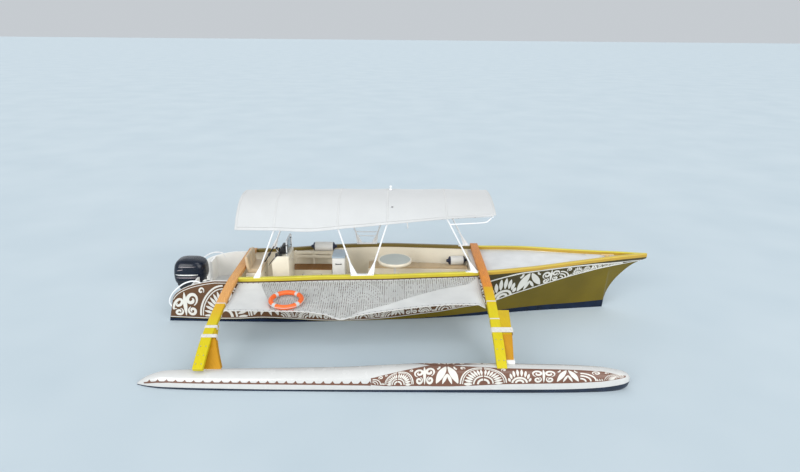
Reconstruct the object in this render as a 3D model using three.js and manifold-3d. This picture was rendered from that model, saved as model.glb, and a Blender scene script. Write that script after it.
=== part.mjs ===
// Motor outrigger canoe: main hull, outrigger float on two crossbeams, net, canopy and outboard motor.
// Millimetres. +X is the bow, +Y is port, +Z is up. The origin is on the waterplane, on the hull's
// centreline, halfway along the hull. The float lies to starboard, at -Y.
import * as THREE from "three";
import { mergeVertices } from "three/addons/utils/BufferGeometryUtils.js";
import Module from "manifold-3d";

const wasm = await Module();
wasm.setup();

// Clearances: touching pieces keep a hairline, moving pieces keep room to move.
const HAIR = 0.3;
const PIN_PLAY = 1;

// Hull lines. Bottom from keel to chine, topsides from chine to sheer. Forward of x = 4040 the
// keel and chine columns follow the raked stem up to the bow tip.
const HULL = [
  { x: -4850, keelZ: -200, chineHalf: 825, chineZ: -60, sheerHalf: 850, sheerZ: 868 },
  { x: -3600, keelZ: -220, chineHalf: 850, chineZ: -60, sheerHalf: 858, sheerZ: 868 },
  { x: -2700, keelZ: -235, chineHalf: 855, chineZ: -60, sheerHalf: 880, sheerZ: 897 },
  { x: -1700, keelZ: -250, chineHalf: 805, chineZ: -60, sheerHalf: 925, sheerZ: 958 },
  { x: -700, keelZ: -260, chineHalf: 720, chineZ: -65, sheerHalf: 950, sheerZ: 988 },
  { x: 300, keelZ: -265, chineHalf: 620, chineZ: -70, sheerHalf: 875, sheerZ: 1000 },
  { x: 1300, keelZ: -262, chineHalf: 480, chineZ: -75, sheerHalf: 785, sheerZ: 1008 },
  { x: 2300, keelZ: -240, chineHalf: 265, chineZ: -80, sheerHalf: 650, sheerZ: 1050 },
  { x: 3300, keelZ: -180, chineHalf: 118, chineZ: -80, sheerHalf: 388, sheerZ: 1085 },
  { x: 3900, keelZ: -100, chineHalf: 38, chineZ: -50, sheerHalf: 235, sheerZ: 1108 },
  { x: 4040, keelZ: -50, chineHalf: 18, chineZ: -20, sheerHalf: 203, sheerZ: 1113 },
  { x: 4062, keelZ: 200, chineHalf: 16, chineZ: 215, sheerHalf: 199, sheerZ: 1114 },
  { x: 4130, keelZ: 430, chineHalf: 16, chineZ: 445, sheerHalf: 183, sheerZ: 1116 },
  { x: 4290, keelZ: 690, chineHalf: 16, chineZ: 705, sheerHalf: 145, sheerZ: 1122 },
  { x: 4600, keelZ: 985, chineHalf: 16, chineZ: 1000, sheerHalf: 75, sheerZ: 1128 },
  { x: 4845, keelZ: 1098, chineHalf: 12, chineZ: 1108, sheerHalf: 16, sheerZ: 1132 },
];
const STERN_X = -4850;
const BOW_X = 4845;
const KEEL_HALF = 12;
const WALL = 40;
const BOTTOM = 50;
const SIDE_STEPS = 4;
// The topsides swell a little aft and are hollow forward, where the bow flares.
const SWELL_AFT = 12;
const HOLLOW_FORE = -26;

// Stern: cheeks run past the transom, with a swim step between each cheek and the motor well.
const TRANSOM_X = -4360;
const TRANSOM_WALL = 50;
const TRANSOM_TOP = 400;
const TRANSOM_CUT_HALF = 430;
const CHEEK_WALL = 50;
const STEP_TOP = 100;
const MOTOR_GAP_HALF = 330;
const STERN_ARC = { footX: -4850, footZ: -10, bendX: -4725, bendZ: 500, pullX: -4600, pullZ: 770, endX: -3880 };

// Decks and bulkheads.
const SOLE_TOP = 250;
const SOLE_THICK = 30;
const WELL_TOP = 300;
const WELL_FRONT = -3660;
const WELL_WALL_TOP = 600;
const COCKPIT_FRONT = 1215;
const PANEL = 36;
const DECK_THICK = 28;
const DECK_CROWN = 22;
const INNER_END = 3650;
const OPEN_RISE = 400;
const STERN_RAIL_IN = 21;

// Gunwale caps.
const CAP_WIDTH = 85;
const CAP_HEIGHT = 70;
const CAP_PROUD = 15;

// Crossbeams: top line in (y, z), with the plank's width along x.
const BEAM_THICK = 75;
const AFT_BEAM = { x0: -3585, x1: -3411, skew: 0.01, port: 872, top: [[-950, 948], [-1400, 900], [-1800, 828], [-2220, 742], [-2600, 645], [-2900, 528], [-3240, 345]] };
const FORE_BEAM = { x0: 1282, x1: 1446, skew: -0.012, port: 880, top: [[-850, 1091], [-1440, 1043], [-1920, 925], [-2400, 770], [-2750, 650], [-3000, 520], [-3250, 360]] };
const SKEW_FROM = -950;

// Struts stand beside each beam's outer end and land on a white foot pad. Top is their upper line in
// (y, z), and face is the board's outline seen along y, in (x, z).
const STRUT_THICK = 60;
const AFT_STRUT = {
  top: [[-2330, 705], [-2600, 622], [-2800, 500], [-3000, 335], [-3090, 245]],
  face: [[-3475, 200], [-3160, 200], [-3470, 780], [-3475, 780]],
  pad: { x0: -3482, x1: -3214, y: -3050, top: 250 },
};
const FORE_STRUT = {
  top: [[-2080, 873], [-2400, 762], [-2660, 660], [-2850, 545], [-3020, 440], [-3080, 395]],
  face: [[1448, 300], [1602, 300], [1602, 400], [1657, 873], [1657, 1000], [1448, 1000]],
  pad: { x0: 1484, x1: 1622, y: -3000, top: 430 },
};

// Rope lashings: the span of y that each one covers, where it ends past the strut, and how far it
// stands off the wood.
const LASH = 11;
const LASHINGS = [
  { name: "lashing_aft_upper", beam: "aft", y0: -2470, y1: -2395, x1: -3390 },
  { name: "lashing_aft_lower", beam: "aft", y0: -2690, y1: -2610, x1: -3340 },
  { name: "lashing_fore_strut", beam: "fore", y0: -2600, y1: -2480, x1: 1662 },
];

// Float. Half is the half width, top and bottom are heights above the waterplane.
const FLOAT_Y = -3145;
const FLOAT = [
  { x: -4560, half: 14, topZ: 26, bottomZ: -22 },
  { x: -4480, half: 48, topZ: 92, bottomZ: -50 },
  { x: -4340, half: 92, topZ: 165, bottomZ: -82 },
  { x: -4100, half: 135, topZ: 228, bottomZ: -112 },
  { x: -3460, half: 172, topZ: 250, bottomZ: -140 },
  { x: -2560, half: 186, topZ: 272, bottomZ: -152 },
  { x: -1240, half: 192, topZ: 305, bottomZ: -160 },
  { x: -260, half: 196, topZ: 365, bottomZ: -162 },
  { x: 230, half: 197, topZ: 385, bottomZ: -162 },
  { x: 1380, half: 196, topZ: 388, bottomZ: -155 },
  { x: 2360, half: 184, topZ: 378, bottomZ: -130 },
  { x: 3000, half: 158, topZ: 352, bottomZ: -90 },
  { x: 3330, half: 118, topZ: 305, bottomZ: -28 },
  { x: 3450, half: 74, topZ: 262, bottomZ: 30 },
  { x: 3495, half: 28, topZ: 208, bottomZ: 110 },
];
const PAD_HALF_Y = 85;

// Net between the hull's side and a rope at its outer edge.
const NET_THICK = 12;
const NET_OUT_Y = -2000;
const NET_SAG = 35;
const NET_EDGE = [
  { x: -3404, outerZ: 780 },
  { x: -2100, outerZ: 772 },
  { x: -1600, outerZ: 715 },
  { x: -1330, outerZ: 620 },
  { x: -1000, outerZ: 705 },
  { x: -500, outerZ: 792 },
  { x: 300, outerZ: 900 },
  { x: 800, outerZ: 934 },
  { x: 1100, outerZ: 934 },
  { x: 1264, outerZ: 862 },
];

// Canopy: height at its edge and at its ridge, and the tubes under it.
const CANOPY_HALF = 905;
const CANOPY_THICK = 14;
const CANOPY_POWER = 2.5;
const CANOPY = [
  { x: -3390, edgeZ: 1940, ridgeZ: 2435 },
  { x: -2700, edgeZ: 1938, ridgeZ: 2468 },
  { x: -2090, edgeZ: 1918, ridgeZ: 2475 },
  { x: -1200, edgeZ: 2000, ridgeZ: 2478 },
  { x: -480, edgeZ: 2075, ridgeZ: 2478 },
  { x: 600, edgeZ: 2190, ridgeZ: 2468 },
  { x: 1525, edgeZ: 2262, ridgeZ: 2425 },
];
const TUBE = 32;
const TUBE_DROP = 31;
const HEAD_STOP = 12;
const ARCH_X = [-3340, -2650, -1450, -510, 610, 1470];
// Side legs: the foot and the head of each tube, with the head at its arch. Two hand bars join the
// middle pair to port, at these heights.
const HAND_BARS = [1235, 1330];
const HAND_BAR_TUBE = 20;
const LEGS = [
  { name: "aft", plate: [-3107, -2983], tubes: [{ footX: -3045, headX: -2650 }] },
  { name: "middle", plate: [-1212, -768], tubes: [{ footX: -1150, headX: -1450 }, { footX: -830, headX: -510 }] },
  { name: "fore", plate: [1020, 1262], tubes: [{ footX: 1190, headX: 610 }] },
];
const BRACE = [[0.89, 0], [1290, 2105], [1400, 2150], [1450, 2200]];
const FOOT_PLATE = { thick: 8, sunk: 16, width: 70, rib: 120 };

// Cockpit furniture.
const BENCH = { x0: -950, x1: COCKPIT_FRONT - HAIR, inner: 450, top: 640, panel: 30 };
const CUSHION = { x0: -940, x1: 1200, thick: 60 };
const SLAT_BENCH = { x0: -2560, x1: -1730, front: 340, back: 705, seatZ: 640, topZ: 950, slats: [[790, 852], [880, 942]] };
const HELM_SEAT = { x0: -3400, x1: -3080, half: 330, baseTop: 820, seatTop: 900, backTop: 1175 };
const CONSOLE = { x0: -2870, x1: -2510, half: 300, top: 1180, dashBack: 120, dashDrop: 150 };
const POD = { x0: -2740, x1: -2600, half: 150, top: 1330 };
const CONSOLE_RAIL = { x: -2552, half: 268, top: 1500, bend: 70 };
const WHEEL = { x: -2965, z: 1120, radius: 180, rim: 26, lean: 0.55 };
const COOL_BOX = { x0: -1665, x1: -1405, y0: -40, y1: 425, top: 1050, lid: 40 };
const TABLE = { x: -365, y: 0, top: 1035, radius: 350, rim: 80, post: 45, foot: 190 };

// Loose gear.
const LIFEBUOY = { x: -2340, y: -1660, ring: 275, tube: 44, tilt: 0.085 };
const FENDER_RADIUS = 100;
const FENDERS = [
  { name: "fender_aft", x: -1915, y: 715, z: 1051, length: 560, turn: 0 },
  { name: "fender_fore", x: 972, y: 570, z: 802, length: 450, turn: 0.12 },
];

// Outboard motor. The tilt axis lies across the transom, the steering axis stands behind it.
const TILT_AXIS = { x: -4330, z: 442 };
const STEER_X = -4520;
const PROP = { x: -4905, z: -430, radius: 190, hub: 58 };
const COWL = [
  { z: 530, front: -4385, aft: -4922, half: 212 },
  { z: 600, front: -4308, aft: -4938, half: 240 },
  { z: 700, front: -4276, aft: -4944, half: 254 },
  { z: 800, front: -4273, aft: -4936, half: 254 },
  { z: 900, front: -4284, aft: -4914, half: 243 },
  { z: 970, front: -4318, aft: -4876, half: 216 },
  { z: 1012, front: -4385, aft: -4822, half: 172 },
  { z: 1035, front: -4475, aft: -4742, half: 115 },
];
const LEG = [
  { z: 529.7, front: -4392, aft: -4916, half: 206 },
  { z: 488, front: -4436, aft: -4905, half: 190 },
  { z: 486, front: -4625, aft: -4903, half: 176 },
  { z: 330, front: -4628, aft: -4846, half: 130 },
  { z: 180, front: -4632, aft: -4792, half: 78 },
  { z: -120, front: -4600, aft: -4790, half: 52 },
  { z: -300, front: -4560, aft: -4800, half: 40 },
  { z: -430, front: -4540, aft: -4800, half: 34 },
];

const finishes = {
  topsides: paint("#8a6a2c", 0.35, 0),
  white: paint("#ecebe6", 0.35, 0),
  cream: paint("#e2dac4", 0.45, 0),
  gold: paint("#d9a92c", 0.4, 0),
  varnish: paint("#c87b22", 0.35, 0),
  tube: paint("#eef1f2", 0.3, 0),
  cloth: paint("#e6e6e4", 0.9, 0),
  mesh: paint("#9b9c9e", 0.9, 0),
  rope: paint("#e9e6dc", 0.95, 0),
  orange: paint("#ee5a1d", 0.5, 0),
  vinyl: paint("#c7a67c", 0.6, 0),
  motor: paint("#14181f", 0.25, 0),
  steel: paint("#8d9196", 0.35, 0.8),
  black: paint("#101012", 0.4, 0),
  grey: paint("#9fb0bd", 0.5, 0),
  smoke: paint("#26323c", 0.1, 0),
};

const canoe = new THREE.Group();
canoe.name = "outrigger_canoe";

function paint(color, roughness, metalness) {
  return new THREE.MeshStandardMaterial({ color, roughness, metalness });
}

function add(name, shape, finish) {
  const geometry = shape.isBufferGeometry ? shape : surface(shape);
  const mesh = new THREE.Mesh(geometry, finish);
  mesh.name = name;
  canoe.add(mesh);
}

// Booleans
function solid(geometry) {
  const bare = geometry.clone();
  bare.deleteAttribute("normal");
  bare.deleteAttribute("uv");
  const merged = mergeVertices(bare, 1e-3);
  const vertProperties = new Float32Array(merged.attributes.position.array);
  const triVerts = new Uint32Array(merged.index.array);
  return new wasm.Manifold(new wasm.Mesh({ numProp: 3, vertProperties, triVerts }));
}

function surface(manifold) {
  const mesh = manifold.getMesh();
  const geometry = new THREE.BufferGeometry();
  geometry.setAttribute("position", new THREE.BufferAttribute(new Float32Array(mesh.vertProperties), 3));
  geometry.setIndex(new THREE.BufferAttribute(new Uint32Array(mesh.triVerts), 1));
  geometry.computeVertexNormals();
  return geometry;
}

const asSolid = (shape) => (shape.isBufferGeometry ? solid(shape) : shape);
const join = (...shapes) => shapes.map(asSolid).reduce((all, next) => all.add(next));
const cut = (shape, ...tools) => tools.map(asSolid).reduce((rest, tool) => rest.subtract(tool), asSolid(shape));
const common = (a, b) => asSolid(a).intersect(asSolid(b));

// Simple shapes
function block(x0, x1, y0, y1, z0, z1) {
  const box = new THREE.BoxGeometry(x1 - x0, y1 - y0, z1 - z0);
  return box.translate((x0 + x1) / 2, (y0 + y1) / 2, (z0 + z1) / 2);
}

function extrude(outline, depth) {
  const shape = new THREE.Shape(outline.map(([a, b]) => new THREE.Vector2(a, b)));
  return new THREE.ExtrudeGeometry(shape, { depth, bevelEnabled: false });
}

// An outline in (y, z), swept from x0 to x1.
function alongX(outline, x0, x1) {
  const turn = new THREE.Matrix4().set(0, 0, 1, x0, 1, 0, 0, 0, 0, 1, 0, 0, 0, 0, 0, 1);
  return extrude(outline, x1 - x0).applyMatrix4(turn);
}

// An outline in (x, z), swept from y0 to y1.
function alongY(outline, y0, y1) {
  const turn = new THREE.Matrix4().set(1, 0, 0, 0, 0, 0, -1, y1, 0, 1, 0, 0, 0, 0, 0, 1);
  return extrude(outline, y1 - y0).applyMatrix4(turn);
}

function rod(from, to, diameter, sides = 12) {
  const a = new THREE.Vector3(...from);
  const b = new THREE.Vector3(...to);
  const along = b.clone().sub(a);
  const cylinder = new THREE.CylinderGeometry(diameter / 2, diameter / 2, along.length(), sides);
  const turn = new THREE.Quaternion().setFromUnitVectors(new THREE.Vector3(0, 1, 0), along.clone().normalize());
  const middle = a.add(b).multiplyScalar(0.5);
  return cylinder.applyQuaternion(turn).translate(middle.x, middle.y, middle.z);
}

function pipe(points, diameter, steps, sides = 10) {
  const path = new THREE.CatmullRomCurve3(points.map((p) => new THREE.Vector3(...p)), false, "centripetal");
  const round = new THREE.Shape().absarc(0, 0, diameter / 2, 0, 2 * Math.PI);
  return new THREE.ExtrudeGeometry(round, { steps, curveSegments: sides / 2, extrudePath: path, bevelEnabled: false });
}

// A row of rings of equal length joined into one closed body. Each ring runs up one side and back
// down the other, so its end is closed by strips between the two sides.
function loft(rings) {
  const count = rings[0].length;
  const corners = rings.flat().flatMap((p) => [p[0], p[1], p[2]]);
  const faces = [];
  const quad = (a, b, c, d) => faces.push(a, b, c, a, c, d);
  for (let r = 0; r < rings.length - 1; r++) {
    for (let i = 0; i < count; i++) {
      const j = (i + 1) % count;
      quad(r * count + i, r * count + j, (r + 1) * count + j, (r + 1) * count + i);
    }
  }
  const last = (rings.length - 1) * count;
  for (let i = 0; i < count / 2 - 1; i++) {
    quad(i, count - 1 - i, count - 2 - i, i + 1);
    quad(last + i, last + i + 1, last + count - 2 - i, last + count - 1 - i);
  }
  const geometry = new THREE.BufferGeometry();
  geometry.setAttribute("position", new THREE.BufferAttribute(new Float32Array(corners), 3));
  geometry.setIndex(enclosed(corners, faces) > 0 ? faces : faces.reverse());
  return geometry;
}

// Volume inside a set of faces, negative when they point inwards.
function enclosed(corners, faces) {
  const corner = (i) => new THREE.Vector3().fromArray(corners, 3 * i);
  let volume = 0;
  for (let f = 0; f < faces.length; f += 3) {
    volume += corner(faces[f]).dot(corner(faces[f + 1]).cross(corner(faces[f + 2])));
  }
  return volume;
}

// The value of one column of a table at x, on a smooth curve that never overshoots its rows.
function read(table, x, key, along = "x") {
  const last = table.length - 2;
  const i = Math.min(Math.max(table.findIndex((row) => row[along] > x) - 1, 0), last);
  const k = x >= table[last + 1][along] ? last : i;
  const rise = (n) => (table[n + 1][key] - table[n][key]) / (table[n + 1][along] - table[n][along]);
  const slope = (n) => {
    if (n === 0) return rise(0);
    if (n === table.length - 1) return rise(last);
    const before = rise(n - 1);
    const after = rise(n);
    return before * after <= 0 ? 0 : (2 * before * after) / (before + after);
  };
  const span = table[k + 1][along] - table[k][along];
  const t = Math.min(Math.max((x - table[k][along]) / span, 0), 1);
  const t2 = t * t;
  const t3 = t2 * t;
  return (
    (2 * t3 - 3 * t2 + 1) * table[k][key] +
    (t3 - 2 * t2 + t) * span * slope(k) +
    (3 * t2 - 2 * t3) * table[k + 1][key] +
    (t3 - t2) * span * slope(k + 1)
  );
}

// Stations along a table: its own rows and a number of steps between each pair.
function stations(table, steps, from = -Infinity, to = Infinity) {
  const places = new Set();
  table.forEach((row, i) => {
    const next = table[i + 1];
    for (let s = 0; next && s < steps; s++) places.add(row.x + ((next.x - row.x) * s) / steps);
  });
  places.add(table[table.length - 1].x);
  const inside = [...places].filter((x) => x > from + 1 && x < to - 1);
  const ends = [from, to].filter(Number.isFinite);
  return [...inside, ...ends].sort((a, b) => a - b);
}

// Hull
function sideHalf(x, t, inset) {
  const chine = read(HULL, x, "chineHalf");
  const sheer = read(HULL, x, "sheerHalf");
  const fore = THREE.MathUtils.smoothstep(x, -500, 2600) * (1 - THREE.MathUtils.smoothstep(x, 4000, 4800));
  const swell = THREE.MathUtils.lerp(SWELL_AFT, HOLLOW_FORE, fore) * (x > 4050 ? 0.5 : 1);
  return Math.max(THREE.MathUtils.lerp(chine, sheer, t) + swell * 4 * t * (1 - t) - inset, 6);
}

function hullRing(x, inset) {
  const chineZ = read(HULL, x, "chineZ") + inset;
  const sheerZ = read(HULL, x, "sheerZ");
  const keelZ = read(HULL, x, "keelZ") + (inset * BOTTOM) / WALL;
  const half = (t) => sideHalf(x, t, inset);
  const side = [[KEEL_HALF * 0.9 * Math.min(1, half(0) / KEEL_HALF), Math.min(keelZ, chineZ - 4)]];
  for (let s = 0; s <= SIDE_STEPS; s++) {
    const t = s / SIDE_STEPS;
    side.push([half(t), THREE.MathUtils.lerp(chineZ, sheerZ, t)]);
  }
  const starboard = side.map(([y, z]) => [x, -y, z]);
  const port = side.map(([y, z]) => [x, y, z]).reverse();
  return [...starboard, ...port];
}

// Room inside the hull's wall, open upwards, smaller by a margin for the pieces fitted to it.
function roomInside(margin) {
  const rings = stations(HULL, 2, TRANSOM_X + TRANSOM_WALL, INNER_END).map((x) => {
    const ring = hullRing(x, WALL + margin);
    const top = ring.length / 2;
    return [...ring.slice(0, top), raise(ring[top - 1], OPEN_RISE), raise(ring[top], OPEN_RISE), ...ring.slice(top)];
  });
  return loft(rings);
}

function sternOutline() {
  const arc = new THREE.Shape();
  arc.moveTo(STERN_ARC.footX - 200, STERN_ARC.footZ);
  arc.lineTo(STERN_ARC.footX, STERN_ARC.footZ);
  arc.lineTo(STERN_ARC.bendX, STERN_ARC.bendZ);
  arc.quadraticCurveTo(STERN_ARC.pullX, STERN_ARC.pullZ, STERN_ARC.endX, read(HULL, STERN_ARC.endX, "sheerZ"));
  arc.lineTo(STERN_ARC.endX, 1400);
  arc.lineTo(STERN_ARC.footX - 200, 1400);
  return arc.getPoints(8).map((p) => [p.x, p.y]);
}

function hullShell() {
  const outside = loft(stations(HULL, 2).map((x) => hullRing(x, 0)));
  const sternRoom = stations(HULL, 4, STERN_X - 20, TRANSOM_X).map((x) => {
    const half = sideHalf(x, 0.5, CHEEK_WALL);
    return [[x, -half, STEP_TOP], [x, -half, 1500], [x, half, 1500], [x, half, STEP_TOP]];
  });
  return cut(
    outside,
    roomInside(0),
    loft(sternRoom),
    block(STERN_X - 20, TRANSOM_X, -MOTOR_GAP_HALF, MOTOR_GAP_HALF, -400, 1500),
    block(TRANSOM_X - 10, TRANSOM_X + TRANSOM_WALL + 10, -TRANSOM_CUT_HALF, TRANSOM_CUT_HALF, TRANSOM_TOP, 1500),
    alongY(sternOutline(), -1200, 1200),
  );
}

function raise(point, lift) {
  return [point[0], point[1], point[2] + lift];
}

const fitInside = (shape, margin = HAIR) => common(shape, roomInside(margin));

function deckPanels() {
  const wide = 1200;
  const across = (x0, x1, z0, z1) => fitInside(block(x0, x1, -wide, wide, z0, z1));
  const wellBack = TRANSOM_X + TRANSOM_WALL + HAIR;
  const soleX = WELL_FRONT + PANEL + HAIR;
  const soleEnd = COCKPIT_FRONT - HAIR;
  const underDeck = deckTop(COCKPIT_FRONT, 0) - DECK_THICK - DECK_CROWN - 4;
  add("well_floor", across(wellBack, WELL_FRONT - HAIR, WELL_TOP - PANEL, WELL_TOP), finishes.white);
  add("aft_bulkhead", across(WELL_FRONT, WELL_FRONT + PANEL, -500, WELL_WALL_TOP), finishes.cream);
  add("cockpit_sole", across(soleX, soleEnd, SOLE_TOP - SOLE_THICK, SOLE_TOP), finishes.cream);
  add("fore_bulkhead", across(COCKPIT_FRONT, COCKPIT_FRONT + PANEL, -500, underDeck), finishes.cream);
  const rings = stations(HULL, 2, COCKPIT_FRONT, INNER_END - HAIR).map((x) => {
    const places = [-1, -0.5, -0.25, 0.25, 0.5, 1].map((u) => u * wide);
    const top = places.map((y) => [x, y, deckTop(x, y)]);
    return [...top, ...top.map((p) => raise(p, -DECK_THICK)).reverse()];
  });
  add("foredeck", fitInside(loft(rings)), finishes.white);
}

// The foredeck lies just under the hull's edge, a little higher along its middle.
function deckTop(x, y) {
  const half = sideHalf(x, 1, 0);
  return read(HULL, x, "sheerZ") - DECK_CROWN - 2 + DECK_CROWN * Math.max(0, 1 - (y / half) ** 2);
}

function gunwaleCap(side) {
  const rings = stations(HULL, 2).map((x) => {
    const outer = sideHalf(x, 1, 0) + CAP_PROUD;
    const inner = Math.max(outer - CAP_WIDTH, 0.2);
    const low = read(HULL, x, "sheerZ") + HAIR;
    const high = low + CAP_HEIGHT;
    return [[x, side * outer, low], [x, side * outer, high], [x, side * inner, high], [x, side * inner, low]];
  });
  return solid(loft(rings));
}

function gunwales() {
  const spans = [
    { name: "aft", x0: AFT_BEAM.x1 + 4, x1: FORE_BEAM.x0 - 4 },
    { name: "fore", x0: FORE_BEAM.x1 + 4, x1: BOW_X },
  ];
  for (const { name, x0, x1 } of spans) {
    const span = block(x0, x1, -1200, 1200, 0, 2000);
    add(`gunwale_${name}_starboard`, common(gunwaleCap(-1), span), finishes.gold);
    add(`gunwale_${name}_port`, common(gunwaleCap(1), span), finishes.gold);
  }
}

function sternRail(side) {
  const y = side * (sideHalf(STERN_X, 1, 0) - STERN_RAIL_IN);
  const route = [[-4755, 290], [-4805, 370], [-4795, 480], [-4705, 625], [-4530, 775], [-4375, 843], [-4255, 850], [-4170, 818], [-4125, 735]];
  return cut(pipe(route.map(([x, z]) => [x, y, z]), 28, 24), grown(hullShell()));
}

// A hull copy that is a hairline larger, to cut pieces that rest on it.
function grown(manifold) {
  return manifold.add(manifold.translate([0, 0, HAIR])).add(manifold.translate([-HAIR, 0, 0]));
}

// Outrigger
function plankOutline(top, thick) {
  const lower = top.map(([y, z], i) => {
    const before = top[Math.max(i - 1, 0)];
    const after = top[Math.min(i + 1, top.length - 1)];
    const run = new THREE.Vector2(after[0] - before[0], after[1] - before[1]).normalize();
    return [y - run.y * thick, z + run.x * thick];
  });
  return [...top, ...lower.reverse()];
}

function crossbeamLine(beam, portZ) {
  const outboard = new THREE.SplineCurve(beam.top.map(([y, z]) => new THREE.Vector2(y, z))).getPoints(14);
  return [[beam.port, portZ], ...outboard.map((p) => [p.x, p.y])];
}

function plank(line, thick, x0, x1, skew) {
  const shape = alongX(plankOutline(line, thick), x0, x1);
  const place = shape.attributes.position;
  for (let i = 0; i < place.count; i++) {
    place.setX(i, place.getX(i) + skew * Math.min(0, place.getY(i) - SKEW_FROM));
  }
  return shape;
}

// The outline shifted outwards by a margin on its top and underside.
function thicker(line, margin) {
  return plankOutline(line, -margin).slice(line.length).reverse();
}

function float(margin = 0) {
  const power = 0.78;
  const angles = [-75, -45, -15, 15, 45, 75].map(THREE.MathUtils.degToRad);
  const rings = stations(FLOAT, 2).map((x) => {
    const half = read(FLOAT, x, "half") + margin;
    const topZ = read(FLOAT, x, "topZ") + margin;
    const bottomZ = read(FLOAT, x, "bottomZ") - margin;
    const middle = (topZ + bottomZ) / 2;
    const height = (topZ - bottomZ) / 2;
    const bend = (v) => Math.sign(v) * Math.abs(v) ** power;
    const near = angles.map((a) => [x, FLOAT_Y - half * bend(Math.cos(a)), middle + height * bend(Math.sin(a))]);
    const far = angles.map((a) => [x, FLOAT_Y + half * bend(Math.cos(a)), middle + height * bend(Math.sin(a))]);
    return [...near, ...far.reverse()];
  });
  return loft(rings);
}

// A strut's board, larger all round by a margin.
function strutBoard(strut, margin) {
  const line = new THREE.SplineCurve(strut.top.map(([y, z]) => new THREE.Vector2(y, z))).getPoints(12).map((p) => [p.x, p.y]);
  const edge = margin ? thicker(line, margin) : line;
  const xs = strut.face.map(([x]) => x);
  const whole = plank(edge, STRUT_THICK + 2 * margin, Math.min(...xs) - 10, Math.max(...xs) + 10, 0);
  const faces = [-1.5 * margin, 1.5 * margin].map((shift) => alongY(strut.face.map(([x, z]) => [x + shift, z]), -3500, -1900));
  return common(whole, join(...faces));
}

function outrigger() {
  const pieces = { aft: [AFT_BEAM, AFT_STRUT], fore: [FORE_BEAM, FORE_STRUT] };
  const floatRoom = solid(float(HAIR));
  add("float", float(), finishes.white);
  for (const [name, [beam, strut]] of Object.entries(pieces)) {
    const { pad } = strut;
    const portZ = beam.top[0][1];
    const line = crossbeamLine(beam, portZ);
    const beamSolid = cut(plank(line, BEAM_THICK, beam.x0, beam.x1, beam.skew), floatRoom);
    add(`crossbeam_${name}`, beamSolid, finishes.varnish);
    const beamRoom = plank(thicker(line, HAIR), BEAM_THICK + 2 * HAIR, beam.x0 - HAIR, beam.x1 + HAIR, beam.skew);
    const padSpace = block(pad.x0, pad.x1, pad.y - PAD_HALF_Y, pad.y + PAD_HALF_Y, 100, pad.top);
    add(`foot_pad_${name}`, cut(padSpace, floatRoom, beamRoom), finishes.white);
    const belowPad = block(pad.x0 - 100, pad.x1 + 100, pad.y - 400, pad.y + 300, 0, pad.top + HAIR);
    add(`strut_${name}`, cut(strutBoard(strut, 0), beamRoom, floatRoom, belowPad), finishes.varnish);
    for (const lash of LASHINGS.filter((row) => row.beam === name)) {
      const wrap = (gap, x1) => plank(thicker(line, gap), BEAM_THICK + 2 * gap, beam.x0 - gap, x1, beam.skew);
      const band = common(wrap(LASH, lash.x1), block(-5000, 5000, lash.y0, lash.y1, 0, 2000));
      add(lash.name, cut(band, beamRoom, strutBoard(strut, HAIR)), finishes.rope);
    }
  }
}

// Net and canopy
function sheet(places, count, point, thick) {
  const rings = places.map((x) => {
    const top = [];
    const under = [];
    for (let i = 0; i <= count; i++) {
      const [y, z, ny, nz] = point(x, i / count);
      top.push([x, y + (ny * thick) / 2, z + (nz * thick) / 2]);
      under.push([x, y - (ny * thick) / 2, z - (nz * thick) / 2]);
    }
    return [...top, ...under.reverse()];
  });
  return loft(rings);
}

// The net's surface at x, from the hull's side (t = 0) to its outer edge (t = 1).
function netPoint(x, t) {
  const innerY = -(sideHalf(x, 0.97, 0) + 16);
  const innerZ = read(HULL, x, "sheerZ") - 28;
  const outerZ = read(NET_EDGE, x, "outerZ");
  const nearBeam = 1 - THREE.MathUtils.smoothstep(Math.abs(x + 1090), 1700, 2300);
  const y = THREE.MathUtils.lerp(innerY, NET_OUT_Y, t);
  const z = THREE.MathUtils.lerp(innerZ, outerZ, t) - NET_SAG * (0.4 + 0.6 * nearBeam) * 4 * t * (1 - t);
  return [y, z, 0, 1];
}

// The canopy's surface at x, from starboard edge (t = 0) to port edge (t = 1), with its normal.
function canopyPoint(x, t, drop = 0) {
  const edgeZ = read(CANOPY, x, "edgeZ");
  const rise = read(CANOPY, x, "ridgeZ") - edgeZ;
  const u = 2 * t - 1;
  const y = CANOPY_HALF * u;
  const z = edgeZ + rise * (1 - Math.abs(u) ** CANOPY_POWER);
  const slope = (-rise * CANOPY_POWER * Math.sign(u) * Math.abs(u) ** (CANOPY_POWER - 1)) / CANOPY_HALF;
  const scale = 1 / Math.hypot(slope, 1);
  return [y + slope * scale * drop, z - scale * drop, -slope * scale, scale];
}

function canopyFrame() {
  const archSteps = 18;
  const arches = ARCH_X.map((x) => {
    const route = [];
    for (let i = 0; i <= archSteps; i++) {
      const [y, z] = canopyPoint(x, 0.012 + (0.976 * i) / archSteps, TUBE_DROP);
      route.push([x, y, z]);
    }
    return pipe(route, TUBE, 22, 8);
  });
  return join(...arches, railTube(-1, TUBE), railTube(1, TUBE));
}

function railTube(side, diameter) {
  const steps = 12;
  const first = ARCH_X[0] - 20;
  const last = ARCH_X[ARCH_X.length - 1] + 20;
  const ends = Array.from({ length: steps + 1 }, (_, i) => first + ((last - first) * i) / steps);
  const t = side < 0 ? 0.012 : 0.988;
  const route = ends.map((x) => {
    const [y, z] = canopyPoint(x, t, TUBE_DROP);
    return [x, y, z];
  });
  return pipe(route, diameter, 20, 8);
}

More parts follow.
